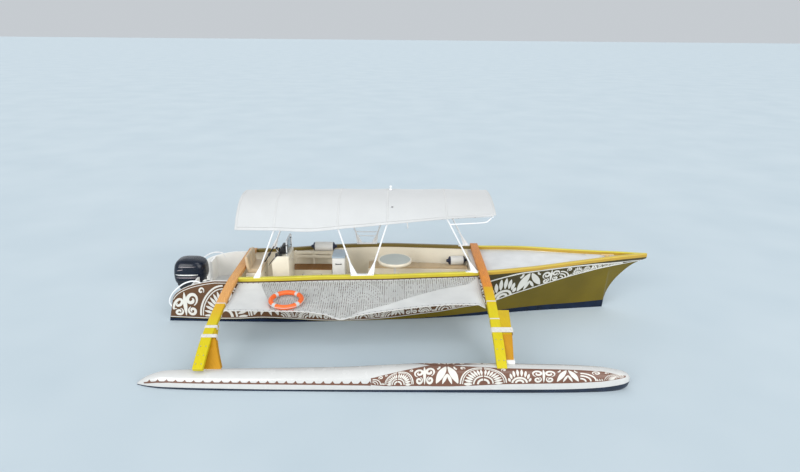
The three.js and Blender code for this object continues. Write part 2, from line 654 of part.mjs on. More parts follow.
function legGroup(leg, side) {
  const frameRoom = asSolid(railTube(side, TUBE + 2 * HAIR));
  const capTop = (x) => read(HULL, x, "sheerZ") + HAIR + CAP_HEIGHT;
  const footY = (x) => side * (sideHalf(x, 1, 0) + CAP_PROUD - CAP_WIDTH / 2);
  const [x0, x1] = leg.plate;
  const middle = (x0 + x1) / 2;
  const y = footY(middle);
  const base = Math.max(capTop(x0), capTop(x1)) + HAIR;
  const plate = block(x0, x1, y - FOOT_PLATE.width / 2, y + FOOT_PLATE.width / 2, base - FOOT_PLATE.sunk, base + FOOT_PLATE.thick);
  const shapes = [plate];
  const heads = [];
  for (const tube of leg.tubes) {
    const [headY, headZ] = canopyPoint(tube.headX, side < 0 ? 0.012 : 0.988, TUBE_DROP);
    const head = new THREE.Vector3(tube.headX, headY, headZ);
    heads.push(new THREE.SphereGeometry(TUBE / 2 + 2 * HAIR, 24, 16).translate(tube.headX, headY, headZ));
    const toFoot = new THREE.Vector3(tube.footX, y, base).sub(head).setLength(HEAD_STOP);
    shapes.push(rod([tube.footX, y, base], head.add(toFoot).toArray(), TUBE));
    const toe = Math.sign(tube.headX - tube.footX);
    const rib = [[tube.footX - 50, base], [tube.footX + 50, base], [tube.footX + toe * 22 + 8, base + FOOT_PLATE.rib], [tube.footX + toe * 22 - 8, base + FOOT_PLATE.rib]];
    shapes.push(alongY(rib, y - 5, y + 5));
  }
  if (leg.name === "fore") shapes.push(forwardBrace(leg.tubes[0], side, y, base));
  if (leg.name === "middle" && side > 0) shapes.push(...handBars(leg, y, base));
  const capRoom = [-HAIR, HAIR].map((shift) => gunwaleCap(side).translate([0, shift, HAIR]));
  return cut(join(...shapes), frameRoom, ...heads, ...capRoom);
}

function handBars(leg, footY, base) {
  return HAND_BARS.map((z) => {
    const ends = leg.tubes.map((tube) => {
      const [headY, headZ] = canopyPoint(tube.headX, 0.988, TUBE_DROP);
      const t = (z - base) / (headZ - base);
      return [THREE.MathUtils.lerp(tube.footX, tube.headX, t), THREE.MathUtils.lerp(footY, headY, t), z];
    });
    return rod(ends[0], ends[1], HAND_BAR_TUBE);
  });
}

// The forward brace leaves the front leg near its head and curves up to the canopy's front corner.
function forwardBrace(tube, side, footY, base) {
  const [headY, headZ] = canopyPoint(tube.headX, side < 0 ? 0.012 : 0.988, TUBE_DROP);
  const t = BRACE[0][0];
  const start = [
    THREE.MathUtils.lerp(tube.footX, tube.headX, t),
    THREE.MathUtils.lerp(footY, headY, t),
    THREE.MathUtils.lerp(base, headZ, t),
  ];
  const bends = BRACE.slice(1).map(([x, z]) => [x, headY, z]);
  return pipe([start, [start[0] + 60, headY, start[2] + 8], ...bends], TUBE - 4, 14, 8);
}

// Cockpit
function bench(side) {
  const { x0, x1, inner, top, panel } = BENCH;
  const outline = [[inner, SOLE_TOP + HAIR], [inner + panel, SOLE_TOP + HAIR], [inner + panel, top - panel], [1100, top - panel], [1100, top], [inner, top]];
  const shape = side > 0 ? outline : outline.map(([y, z]) => [-y, z]).reverse();
  const [y0, y1] = side > 0 ? [inner, 1100] : [-1100, -inner];
  const ends = [x0, x1 - panel].map((x) => block(x, x + panel, y0, y1, SOLE_TOP + HAIR, top));
  return fitInside(join(alongX(shape, x0, x1), ...ends));
}

function cushion(side) {
  const { x0, x1, thick } = CUSHION;
  const inner = BENCH.inner + 8;
  const [y0, y1] = side > 0 ? [inner, 1100] : [-1100, -inner];
  return fitInside(block(x0, x1, y0, y1, BENCH.top + HAIR, BENCH.top + thick), 12);
}

function slatBench() {
  const { x0, x1, front, back, seatZ, topZ, slats } = SLAT_BENCH;
  const seat = block(x0, x1, front, back, SOLE_TOP + HAIR, seatZ);
  const posts = [x0, (x0 + x1 - 40) / 2, x1 - 40].map((x) => block(x, x + 40, back - 5, back + 25, SOLE_TOP + HAIR, topZ));
  const rest = slats.map(([z0, z1]) => block(x0, x1, back - 24, back + 2, z0, z1));
  return fitInside(join(seat, ...posts, ...rest));
}

function helmSeat() {
  const { x0, x1, half, baseTop, seatTop, backTop } = HELM_SEAT;
  add("helm_seat_box", block(x0, x1, -half, half, SOLE_TOP + HAIR, baseTop), finishes.cream);
  const side = [[x0 + 4, baseTop + HAIR], [x1 + 10, baseTop + HAIR], [x1 + 10, seatTop - 15], [x1 - 10, seatTop], [x0 + 90, seatTop], [x0 + 62, backTop], [x0 + 20, backTop], [x0 + 4, backTop - 40]];
  add("helm_seat_cushion", alongY(side, -half + 10, half - 10), finishes.vinyl);
}

function helm() {
  const { x0, x1, half, top, dashBack, dashDrop } = CONSOLE;
  const side = [[x0 + 40, SOLE_TOP + HAIR], [x1, SOLE_TOP + HAIR], [x1, top], [x0 + dashBack, top], [x0, top - dashDrop]];
  add("console", alongY(side, -half, half), finishes.white);
  const pod = [[POD.x0, top + HAIR], [POD.x1, top + HAIR], [POD.x1, POD.top - 50], [POD.x1 - 40, POD.top], [POD.x0 + 50, POD.top]];
  add("instrument_pod", alongY(pod, -POD.half, POD.half), finishes.black);
  const rail = CONSOLE_RAIL;
  const route = [[rail.x, -rail.half, top + HAIR], [rail.x, -rail.half, rail.top - rail.bend], [rail.x, -rail.half + rail.bend, rail.top], [rail.x, rail.half - rail.bend, rail.top], [rail.x, rail.half, rail.top - rail.bend], [rail.x, rail.half, top + HAIR]];
  const links = route.slice(1).map((point, i) => rod(route[i], point, 26));
  const knees = route.slice(1, -1).map((point) => new THREE.SphereGeometry(13, 12, 8).translate(...point));
  add("console_rail", cut(join(...links, ...knees), block(x0, x1, -half, half, 0, top + HAIR)), finishes.tube);
  const wide = rail.half - 22;
  const high = rail.top - 28;
  const corner = rail.bend;
  const screen = [[-wide, top + 20], [wide, top + 20], [wide, high - corner], [wide - corner, high], [corner - wide, high], [-wide, high - corner]];
  add("windscreen", alongX(screen, rail.x - 4, rail.x + 4), finishes.smoke);
}

// The wheel turns on a shaft that stands out of the dash, square to it.
function helmWheel() {
  const rim = new THREE.TorusGeometry(WHEEL.radius, WHEEL.rim / 2, 8, 32);
  const spokes = [0, 1, 2].map((i) => {
    const angle = Math.PI + (i * 2 * Math.PI) / 3;
    return rod([0, 0, 0], [WHEEL.radius * Math.cos(angle), WHEEL.radius * Math.sin(angle), 0], 20, 8);
  });
  const hub = new THREE.CylinderGeometry(38, 38, 50, 20).rotateX(Math.PI / 2);
  const wheel = surface(join(rim, hub, ...spokes));
  return wheel.rotateY(-Math.PI / 2 + WHEEL.lean).translate(WHEEL.x, 0, WHEEL.z);
}

function coolBox() {
  const { x0, x1, y0, y1, top, lid } = COOL_BOX;
  const wall = 35;
  const body = cut(block(x0, x1, y0, y1, SOLE_TOP + HAIR, top), block(x0 + wall, x1 - wall, y0 + wall, y1 - wall, SOLE_TOP + 60, top + 10));
  add("cool_box", body, finishes.white);
  add("cool_box_lid", block(x0 - 6, x1 + 6, y0 - 8, y1, top + 5, top + lid), finishes.grey);
}

function table() {
  const { x, y, top, radius, rim, post, foot } = TABLE;
  const profile = [[0, SOLE_TOP + HAIR], [foot, SOLE_TOP + HAIR], [foot, SOLE_TOP + 18], [post / 2, SOLE_TOP + 40], [post / 2, top - rim], [radius - 30, top - rim], [radius, top - rim + 18], [radius, top - 4], [radius - 6, top], [0, top]];
  const lathe = new THREE.LatheGeometry(profile.map(([r, z]) => new THREE.Vector2(r, z)), 40);
  return lathe.rotateX(Math.PI / 2).translate(x, y, 0);
}

// Gear
function lifebuoy() {
  const { x, y, ring, tube, tilt } = LIFEBUOY;
  const t = (y + sideHalf(x, 1, 0)) / (NET_OUT_Y + sideHalf(x, 1, 0));
  const [, netZ] = netPoint(x, t);
  const torus = new THREE.TorusGeometry(ring, tube, 12, 40);
  return torus.rotateX(tilt).translate(x, y, netZ + NET_THICK / 2 + tube + 20);
}

function fender({ x, y, z, length, turn }) {
  const half = length / 2;
  const r = FENDER_RADIUS;
  const profile = [[0, -half], [32, -half], [36, -half + 34], [r * 0.72, -half + 58], [r, -half + 110], [r, half - 110], [r * 0.72, half - 58], [36, half - 34], [32, half], [0, half]];
  const lathe = new THREE.LatheGeometry(profile.map(([a, b]) => new THREE.Vector2(a, b)), 20);
  return lathe.rotateZ(-Math.PI / 2).rotateZ(turn).translate(x, y, z);
}

function bowCleat() {
  const x = 4030;
  const base = 1117;
  const body = block(x - 45, x + 45, -22, 22, base, base + 42);
  return join(body, rod([x - 140, 0, base + 45], [x + 140, 0, base + 45], 34));
}

// Outboard
function roundedSection(row, count = 6) {
  const middle = (row.front + row.aft) / 2;
  const reach = (row.front - row.aft) / 2;
  const bend = (v) => Math.sign(v) * Math.abs(v) ** 0.62;
  const port = [];
  for (let i = 0; i < count; i++) {
    const a = Math.PI * ((i + 0.5) / count);
    port.push([middle + reach * bend(Math.cos(a)), row.half * bend(Math.sin(a)), row.z]);
  }
  return [...port, ...port.map(([px, py, pz]) => [px, -py, pz]).reverse()];
}

function clampBracket() {
  const outline = [[-4440, 100], [TRANSOM_X - HAIR, 100], [TRANSOM_X - HAIR, TRANSOM_TOP + HAIR], [-4310 + HAIR, TRANSOM_TOP + HAIR], [-4310 + HAIR, 310], [-4282, 310], [-4282, 455], [-4310, 472], [-4355, 472], [-4400, 430], [-4440, 330]];
  const plates = [alongY(outline, 104, 130), alongY(outline, -130, -104)];
  return join(...plates, rod([TILT_AXIS.x, -120, TILT_AXIS.z], [TILT_AXIS.x, 120, TILT_AXIS.z], 30, 20));
}

function swivelBracket() {
  const eye = rod([TILT_AXIS.x, -92, TILT_AXIS.z], [TILT_AXIS.x, 92, TILT_AXIS.z], 70, 24);
  const arm = block(STEER_X, TILT_AXIS.x, -92, 92, TILT_AXIS.z - 32, TILT_AXIS.z + 20);
  const post = rod([STEER_X, 0, 62], [STEER_X, 0, 462], 110, 24);
  const web = block(STEER_X, TRANSOM_X - 16, -34, 34, 100, TILT_AXIS.z);
  const hole = rod([TILT_AXIS.x, -200, TILT_AXIS.z], [TILT_AXIS.x, 200, TILT_AXIS.z], 30 + 2 * PIN_PLAY, 20);
  const bore = rod([STEER_X, 0, 0], [STEER_X, 0, 600], 48 + 2 * PIN_PLAY, 20);
  return cut(join(eye, arm, post, web), hole, bore);
}

function outboardLeg() {
  const housing = loft(LEG.map((row) => roundedSection(row)));
  const shaft = rod([STEER_X, 0, 40], [STEER_X, 0, 500], 48, 20);
  const yokeTop = block(STEER_X - 130, STEER_X + 40, -70, 70, 470, 520);
  const yokeLow = block(STEER_X - 130, STEER_X + 36, -48, 48, 20, 55);
  const plate = block(-4985, -4560, -110, 110, -228, -214);
  const torpedo = new THREE.LatheGeometry([[0, -4925], [30, -4895], [62, -4850], [66, -4700], [62, -4560], [40, -4480], [0, -4430]].map(([r, x]) => new THREE.Vector2(r, x)), 20);
  torpedo.rotateZ(-Math.PI / 2).translate(0, 0, PROP.z);
  const skeg = alongY([[-4560, PROP.z - 40], [-4640, -655], [-4780, -668], [-4790, PROP.z - 40]], -7, 7);
  const propRoom = rod([-4950, 0, PROP.z], [-4854, 0, PROP.z], 300, 24);
  return join(cut(join(housing, plate, torpedo, skeg), propRoom), shaft, yokeTop, yokeLow);
}

function cowl() {
  const outside = loft(COWL.map((row) => roundedSection(row, 8)));
  const skin = 26;
  const inner = COWL.slice(0, -1).map((row) => ({ z: row.z, front: row.front - skin, aft: row.aft + skin, half: row.half - skin }));
  inner[0].z -= 20;
  inner[inner.length - 1].z -= 10;
  return cut(outside, loft(inner.map((row) => roundedSection(row, 8))));
}

function propeller() {
  const hub = rod([PROP.x - 62, 0, PROP.z], [-4860, 0, PROP.z], PROP.hub * 2, 24);
  const blades = [0, 1, 2].map((i) => {
    const blade = new THREE.SphereGeometry(1, 14, 10).scale(9, 78, 82).translate(0, 0, 112);
    return blade.rotateZ(0.45).rotateX((i * 2 * Math.PI) / 3).translate(PROP.x, 0, PROP.z);
  });
  return join(hub, ...blades);
}

function outboard() {
  add("outboard_clamp", clampBracket(), finishes.motor);
  add("outboard_swivel", swivelBracket(), finishes.motor);
  add("outboard_leg", outboardLeg(), finishes.motor);
  add("outboard_cowl", cowl(), finishes.motor);
  add("outboard_powerhead", block(-4795, -4450, -112, 112, 530, 900), finishes.steel);
  add("outboard_propeller", propeller(), finishes.steel);
}

add("hull_shell", hullShell(), finishes.topsides);
deckPanels();
gunwales();
for (const [name, side] of [["starboard", -1], ["port", 1]]) {
  add(`stern_rail_${name}`, sternRail(side), finishes.tube);
}
add("bow_cleat", bowCleat(), finishes.gold);
outrigger();
add("net", sheet(stations(NET_EDGE, 3), 8, netPoint, NET_THICK), finishes.mesh);
add("canopy", sheet(stations(CANOPY, 3), 20, (x, t) => canopyPoint(x, t), CANOPY_THICK), finishes.cloth);
add("canopy_frame", canopyFrame(), finishes.tube);
for (const [name, side] of [["starboard", -1], ["port", 1]]) {
  for (const leg of LEGS) add(`canopy_leg_${leg.name}_${name}`, legGroup(leg, side), finishes.tube);
  add(`bench_${name}`, bench(side), finishes.cream);
  add(`bench_cushion_${name}`, cushion(side), finishes.vinyl);
}
add("masthead_light", new THREE.CylinderGeometry(24, 30, 90, 16).rotateX(Math.PI / 2).translate(-460, 80, 2478 + 8 + 46), finishes.white);
add("slat_bench", slatBench(), finishes.cream);
helmSeat();
helm();
add("helm_wheel", helmWheel(), finishes.black);
coolBox();
add("table", table(), finishes.cream);
add("lifebuoy", lifebuoy(), finishes.orange);
for (const row of FENDERS) add(row.name, fender(row), finishes.white);
outboard();

export default canoe;
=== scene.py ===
# %% [markdown]
# # A motor outrigger canoe, dressed piece by piece
# The boat has one main hull, a float held by two crossbeams, a net between them, a cloth canopy on
# bent tubes and an outboard motor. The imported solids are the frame: they fix every size and place.
# Each cell below takes one piece of the real boat, says how it is made, and builds the look around
# that frame. Lengths are metres, +X is the bow, +Y is port, +Z is up, and z = 0 is the waterline.

import math

import bmesh
import bpy
import numpy as np
from mathutils import Matrix, Vector


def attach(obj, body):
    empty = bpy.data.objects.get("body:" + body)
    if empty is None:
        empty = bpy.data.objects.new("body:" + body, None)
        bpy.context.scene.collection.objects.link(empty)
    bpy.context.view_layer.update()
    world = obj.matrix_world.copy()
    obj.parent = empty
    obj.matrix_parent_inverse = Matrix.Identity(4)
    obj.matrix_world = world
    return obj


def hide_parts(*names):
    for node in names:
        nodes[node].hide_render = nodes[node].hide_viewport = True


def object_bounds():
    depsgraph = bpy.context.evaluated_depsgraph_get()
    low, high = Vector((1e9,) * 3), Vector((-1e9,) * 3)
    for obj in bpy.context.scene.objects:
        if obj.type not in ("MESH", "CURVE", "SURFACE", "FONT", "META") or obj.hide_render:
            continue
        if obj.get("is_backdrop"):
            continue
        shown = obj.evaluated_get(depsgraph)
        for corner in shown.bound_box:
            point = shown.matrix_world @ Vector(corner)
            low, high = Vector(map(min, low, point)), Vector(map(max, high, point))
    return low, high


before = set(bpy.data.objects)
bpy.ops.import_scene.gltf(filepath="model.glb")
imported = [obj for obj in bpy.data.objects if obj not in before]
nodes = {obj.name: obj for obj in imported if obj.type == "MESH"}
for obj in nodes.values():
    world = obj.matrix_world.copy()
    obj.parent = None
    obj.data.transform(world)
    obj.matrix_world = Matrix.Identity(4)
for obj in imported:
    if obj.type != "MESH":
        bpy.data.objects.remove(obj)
cad_low, cad_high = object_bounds()

# %% [markdown]
# ## Camera, floor and light
# The photo looks at the starboard side from the air, a little down. A camera is a place, a direction
# and a focal length; the small roll keeps the horizon where the photo has it. The boat is afloat, so
# the floor lies at the waterline and the lower part of each hull goes through it.

# %% Camera
CAMERA_PLACE = Vector((-0.31, -11.885, 5.524))
PITCH_DOWN = 0.3235
TURN = 0.0038
ROLL = 0.0089
FOCAL_PIXELS = 611.57
FRAME_PIXELS = 800
SENSOR = 36.0


def placed(name, data):
    """Makes an object from its data and links it to the scene."""
    made = bpy.data.objects.new(name, data)
    bpy.context.scene.collection.objects.link(made)
    return made


def add_camera():
    ahead, down = math.cos(PITCH_DOWN), math.sin(PITCH_DOWN)
    forward = Vector((math.sin(TURN) * ahead, math.cos(TURN) * ahead, -down))
    level = Vector((math.cos(TURN), -math.sin(TURN), 0))
    upright = level.cross(forward)
    right = level * math.cos(ROLL) + upright * math.sin(ROLL)
    up = upright * math.cos(ROLL) - level * math.sin(ROLL)
    lens = bpy.data.cameras.new("camera")
    lens.sensor_width = SENSOR
    lens.lens = FOCAL_PIXELS * SENSOR / FRAME_PIXELS
    camera = placed("camera", lens)
    turn = Matrix((right, up, -forward)).transposed().to_4x4()
    camera.matrix_world = Matrix.Translation(CAMERA_PLACE) @ turn
    bpy.context.scene.camera = camera


add_camera()

# %% Soft studio light
LIGHTS = {  # the way it shines, its strength, its spread in degrees
    "key": ((-5.0, 8.0, -17.0), 0.60, 30),
    "left": ((8.0, 12.0, -5.5), 1.75, 40),
    "right": ((-9.0, 11.0, -5.5), 1.15, 40),
    "back": ((2.0, -12.0, -8.0), 0.35, 70),
}
SKY_COLOUR, SKY_STRENGTH = (0.86, 0.91, 0.96, 1), 0.66

for name, (towards, strength, spread) in LIGHTS.items():
    lamp = bpy.data.lights.new(name, "SUN")
    lamp.energy, lamp.angle = strength, math.radians(spread)
    light = placed(name, lamp)
    light.location = Vector(towards) * -1
    light.rotation_euler = Vector(towards).to_track_quat("-Z", "Y").to_euler()
sky = bpy.data.worlds.new("sky")
sky.use_nodes = True
background = sky.node_tree.nodes["Background"]
background.inputs["Color"].default_value = SKY_COLOUR
background.inputs["Strength"].default_value = SKY_STRENGTH
bpy.context.scene.world = sky
bpy.context.scene.view_settings.view_transform = "Standard"

# %% [markdown]
# ## Two small helpers that everything shares
# A material and a Geometry Nodes tree are both graphs, so one helper adds a node to either: it takes
# the node's kind, what goes into its sockets and its settings. The second helper puts a finished mesh
# into the scene on the body that it moves with, and hides the solids of the frame that it stands for.

# %% Graph helper
def grow(tree, kind, sockets=None, **settings):
    """Adds a node. A socket takes a value or another node's output."""
    node = tree.nodes.new(kind if "Node" in kind else "ShaderNode" + kind)
    for key, value in settings.items():
        setattr(node, key, value)
    for socket, value in (sockets or {}).items():
        if isinstance(value, bpy.types.NodeSocket):
            tree.links.new(value, node.inputs[socket])
        else:
            node.inputs[socket].default_value = value
    return node


# %% Show a mesh as a piece of the boat
def show(name, made, finishes, body="boat", stands_for=(), slot=None, sharp=35):
    """Shows a mesh, a Body or one shell on the body it moves with, and hides the solids it stands for.
    """
    if isinstance(made, tuple):
        made = Body().add(made)
    mesh = made.mesh(name) if isinstance(made, Body) else made
    piece = placed(name, mesh)
    finishes = finishes if isinstance(finishes, list) else [finishes]
    chosen = np.zeros(len(mesh.polygons), dtype=np.int32)
    mesh.polygons.foreach_get("material_index", chosen)
    mesh.materials.clear()
    for finish in finishes:
        mesh.materials.append(finish)
    mesh.polygons.foreach_set("material_index", np.minimum(chosen, len(finishes) - 1))
    mesh.shade_smooth()
    if sharp is not None:
        mesh.set_sharp_from_angle(angle=math.radians(sharp))
    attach(piece, body)
    if stands_for:
        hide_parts(*stands_for)
    return piece


# %% [markdown]
# ## Finishes
# Every finish is made of nodes that vary over the surface: a slow noise shifts the colour, a fine one
# makes the bump, and a third moves the gloss. What is the same everywhere is set on the shader itself.
# Patterns read Object coordinates, so a weave or grain keeps its real size in millimetres, or the
# piece's own UV map where they follow a plank, a rope or a strap.

# %% Material helpers
def shaded(name, colour, rough=0.5, metal=0.0, coat=0.0, sheen=0.0, ior=1.5):
    """A new material and its tree, with what is the same everywhere set on the shader."""
    finish = bpy.data.materials.new(name)
    finish.use_nodes = True
    sockets = finish.node_tree.nodes["Principled BSDF"].inputs
    for socket, value in {
        "Base Color": (*colour, 1), "Roughness": rough, "Metallic": metal, "Coat Weight": coat,
        "Coat Roughness": 0.08, "Sheen Weight": sheen, "IOR": ior,
    }.items():
        sockets[socket].default_value = value
    return finish, finish.node_tree


def places(tree, kind="Object", stretch=(1, 1, 1)):
    source = grow(tree, "TexCoord").outputs[kind]
    return grow(tree, "Mapping", {"Vector": source, "Scale": stretch}).outputs["Vector"]


def noise(tree, where, scale, detail=3.0):
    return grow(tree, "TexNoise", {"Vector": where, "Scale": scale, "Detail": detail}).outputs["Fac"]


def tints(tree, factor, low, high, start=0.3, end=0.7):
    """Goes from one colour to another as the factor goes from start to end."""
    made = grow(tree, "ValToRGB", {"Fac": factor})
    for stop, position, colour in zip(made.color_ramp.elements, (start, end), (low, high)):
        stop.position, stop.color = position, (*colour, 1)
    return made.outputs["Color"]


def lighter(colour, share):
    return tuple(min(1.0, c * share) for c in colour)


def drifting(tree, factor, colour, dark, light):
    """A colour that wanders between two shares of itself."""
    return tints(tree, factor, lighter(colour, dark), lighter(colour, light))


def ranged(tree, value, start, end, low=0.0, high=1.0):
    sockets = {"Value": value, "From Min": start, "From Max": end, "To Min": low, "To Max": high}
    return grow(tree, "MapRange", sockets).outputs["Result"]


def between(tree, factor, low, high):
    return ranged(tree, factor, 0.0, 1.0, low, high)


def mixed(tree, factor, first, second):
    return grow(tree, "Mix", {"Factor": factor, 6: first, 7: second}, data_type="RGBA").outputs[2]


def coated(finish, colour, gloss, height, strength, depth):
    """Links the colour, the roughness and the bump of a finish to its shader."""
    tree = finish.node_tree
    shader = tree.nodes["Principled BSDF"]
    tree.links.new(colour, shader.inputs["Base Color"])
    tree.links.new(gloss, shader.inputs["Roughness"])
    bump = grow(tree, "Bump", {"Height": height, "Strength": strength, "Distance": depth})
    tree.links.new(bump.outputs["Normal"], shader.inputs["Normal"])
    return finish


# %% Moulded shell finishes: gelcoat, plastic and paint
def moulded(name, colour, rough, grain, depth, metal=0.0, coat=0.0):
    """A smooth finish with slow colour drift, faint patchy gloss and a fine surface grain."""
    finish, tree = shaded(name, colour, rough, metal, coat)
    where = places(tree)
    drift = drifting(tree, noise(tree, where, 2.2, 4), colour, 0.93, 1.05)
    gloss = between(tree, noise(tree, where, 11, 5), rough * 0.8, rough * 1.25)
    return coated(finish, drift, gloss, noise(tree, where, grain, 2), 0.35, depth)


WHITE = (0.82, 0.815, 0.79)
CREAM = (0.88, 0.81, 0.66)
gel_white = moulded("gelcoat_white", WHITE, 0.24, 160, 0.0006, coat=0.5)
gel_cream = moulded("gelcoat_cream", CREAM, 0.32, 160, 0.0006, coat=0.3)
tube_white = moulded("tube_powder_coat", (0.83, 0.84, 0.85), 0.3, 900, 0.0002, coat=0.3)
cap_yellow = moulded("cap_yellow_paint", (0.60, 0.53, 0.025), 0.33, 240, 0.0005, coat=0.3)
gold_top = moulded("cap_gold_paint", (0.56, 0.40, 0.025), 0.34, 240, 0.0005, coat=0.2)
# A darker copy of the cap yellow: painted shade on the upright faces of the starboard cap between the
# beams.
cap_side_painted_shade = moulded("cap_side_yellow_painted_shade", (0.50, 0.40, 0.02), 0.36, 240, 0.0005, coat=0.3)
# Dark mustard: painted shade on the port cap between the beams, under the canopy.
port_cap_painted_shade = moulded("cap_mustard_painted_shade", (0.17, 0.12, 0.02), 0.4, 240, 0.0005, coat=0.2)
# A darker gold: painted shade on the upright faces of the forward caps.
rail_side_painted_shade = moulded("rail_gold_painted_shade", (0.44, 0.27, 0.02), 0.36, 240, 0.0005, coat=0.3)
black_plastic = moulded("black_plastic", (0.018, 0.018, 0.02), 0.42, 1400, 0.0003)
lid_grey = moulded("lid_blue_grey", (0.38, 0.47, 0.55), 0.36, 700, 0.0004)
table_grey = moulded("table_top_grey", (0.50, 0.54, 0.50), 0.38, 700, 0.0003)
buoy_orange = moulded("buoy_orange", (0.86, 0.14, 0.02), 0.42, 420, 0.0008)
navy_rubber = moulded("navy_vinyl", (0.012, 0.018, 0.05), 0.4, 500, 0.0005)
fender_white = moulded("fender_vinyl", (0.78, 0.77, 0.74), 0.36, 420, 0.0006)
steel = moulded("stainless_steel", (0.56, 0.57, 0.58), 0.22, 500, 0.0002, metal=1.0)
cast_metal = moulded("cast_aluminium", (0.35, 0.36, 0.38), 0.38, 350, 0.0006, metal=1.0)
dial_white = moulded("dial_white", (0.85, 0.85, 0.82), 0.4, 600, 0.0001)
ink_white = moulded("pattern_white", (0.70, 0.68, 0.62), 0.3, 300, 0.0003, coat=0.3)
ink_brown = moulded("pattern_brown", (0.15, 0.062, 0.034), 0.34, 300, 0.0003, coat=0.3)

# %% Motor paint with fine flakes
def cells(tree, where, scale, out="Distance", **settings):
    return grow(tree, "TexVoronoi", {"Vector": where, "Scale": scale}, **settings).outputs[out]


def flaked(name, colour):
    """Dark paint under clear coat, with metal flakes that catch the light."""
    finish, tree = shaded(name, colour, 0.22, coat=0.1, ior=1.38)
    where = places(tree)
    drift = drifting(tree, noise(tree, where, 7, 2), colour, 0.8, 1.3)
    glint = between(tree, cells(tree, where, 900.0, "Color"), 0.14, 0.34)
    return coated(finish, drift, glint, noise(tree, where, 60, 2), 0.15, 0.0004)


motor_paint = flaked("motor_paint", (0.004, 0.008, 0.018))
motor_leg_paint = flaked("motor_leg_paint", (0.02, 0.022, 0.026))
prop_paint = flaked("propeller_paint", (0.03, 0.032, 0.036))
# A pale pinkish grey for the fainter painted highlights on the cowl.
cowl_trim = moulded("cowl_pale_highlight_paint", (0.42, 0.36, 0.37), 0.3, 700, 0.0001, coat=0.5)

# %% Non-skid deck paint
def non_skid(name, colour):
    """Small raised pebbles, as moulded into a deck so that wet feet hold."""
    finish, tree = shaded(name, colour, 0.6)
    where = places(tree)
    pebbles = cells(tree, where, 170.0)
    drift = drifting(tree, noise(tree, where, 3, 5), colour, 0.9, 1.04)
    return coated(finish, drift, between(tree, pebbles, 0.72, 0.45), pebbles, 0.6, -0.0012)


deck_white = non_skid("deck_non_skid", (0.70, 0.71, 0.71))
# The motor well's white is lighter than the other white gelcoat: painted light on a well that the motor
# shades.
well_white_painted_light = moulded("well_gelcoat_painted_light", (0.93, 0.92, 0.88), 0.3, 160, 0.0006, coat=0.2)
sole_cream = non_skid("sole_non_skid", (0.84, 0.75, 0.58))

# %% [markdown]
# The crossbeams are varnished wood near the hull and painted yellow outboard. Wood grain is a noise
# stretched along the plank, so it reads the plank's own UV map, where u runs along it in metres. The
# change from varnish to paint is a line across the beam, so that one reads Object coordinates.

# %% Wood
def sums(tree, operation, first, second=0.0, third=0.0):
    return grow(tree, "Math", {0: first, 1: second, 2: third}, operation=operation).outputs[0]


def wood(name, dark, light, painted=None, from_y=0.0, gloss=0.4):
    """Varnished wood; painted is a pair of colours for the part outboard of from_y."""
    finish, tree = shaded(name, light, gloss, ior=1.33)
    grain = noise(tree, places(tree, "UV", (1.6, 38, 1)), 3.2, 8)
    fine = noise(tree, places(tree, "UV", (6, 260, 1)), 5, 3)
    both = sums(tree, "MULTIPLY", grain, fine)
    colour = tints(tree, both, dark, light, 0.14, 0.38)
    if painted:
        apart = grow(tree, "SeparateXYZ", {"Vector": places(tree)})
        edge = noise(tree, places(tree), 14, 2)
        y = sums(tree, "MULTIPLY_ADD", edge, 0.05, apart.outputs["Y"])
        near, far = (drifting(tree, grain, paint, 0.88, 1.05) for paint in painted)
        worn = mixed(tree, ranged(tree, y, from_y - 0.1, from_y - 0.6), near, far)
        colour = mixed(tree, ranged(tree, y, from_y, from_y - 0.02), colour, worn)
    return coated(finish, colour, between(tree, grain, gloss * 0.8, gloss * 1.4), both, 0.3, 0.0008)


AMBER, YELLOW, OCHRE = (0.66, 0.38, 0.010), (0.61, 0.50, 0.008), (0.50, 0.24, 0.008)
beam_wood = {
    "aft": wood(
        "aft_beam_varnish_and_paint", (0.52, 0.21, 0.05), (0.84, 0.47, 0.16), (AMBER, YELLOW), -1.76
    ),
    "fore": wood(
        "fore_beam_varnish_and_paint", (0.50, 0.15, 0.02), (0.86, 0.33, 0.035), (AMBER, YELLOW), -1.40
    ),
}
strut_wood = wood("strut_paint", (0.48, 0.31, 0.008), (0.62, 0.44, 0.008), (OCHRE, OCHRE), -2.58)
block_wood = wood("block_brown_wood", (0.16, 0.07, 0.02), (0.42, 0.20, 0.06))
cleat_wood = wood("cleat_tan_wood", (0.50, 0.34, 0.14), (0.74, 0.56, 0.28))

# %% Cloth, webbing, vinyl and rope
def threads(tree, where, scale, way, uneven=0.4):
    sockets = {"Vector": where, "Scale": scale, "Distortion": uneven}
    return grow(tree, "TexWave", sockets, bands_direction=way).outputs["Fac"]


def woven(name, colour, count, depth, rough=0.85, kind="Object", drift=0.92):
    """Warp and weft: two crossed waves make the threads, and a noise makes them uneven."""
    finish, tree = shaded(name, colour, rough, sheen=0.25)
    where = places(tree, kind)
    weave = sums(tree, "MAXIMUM", *(threads(tree, where, count, way) for way in "XY"))
    cloudy = drifting(tree, noise(tree, where, 2.5, 6), colour, drift, 2 - drift)
    gloss = between(tree, weave, rough * 0.9, min(rough * 1.1, 1.0))
    return coated(finish, cloudy, gloss, weave, 0.3, depth)


canopy_cloth = woven("canopy_cloth", (0.54, 0.545, 0.54), 110, 0.0003, 0.75, kind="UV", drift=0.98)
net_cloth = woven("net_white_cloth", (0.62, 0.625, 0.61), 90, 0.0005)
net_grey = woven("net_grey_webbing", (0.50, 0.505, 0.49), 160, 0.0005)
hem_white = woven("hem_white_webbing", (0.55, 0.553, 0.545), 150, 0.0005)


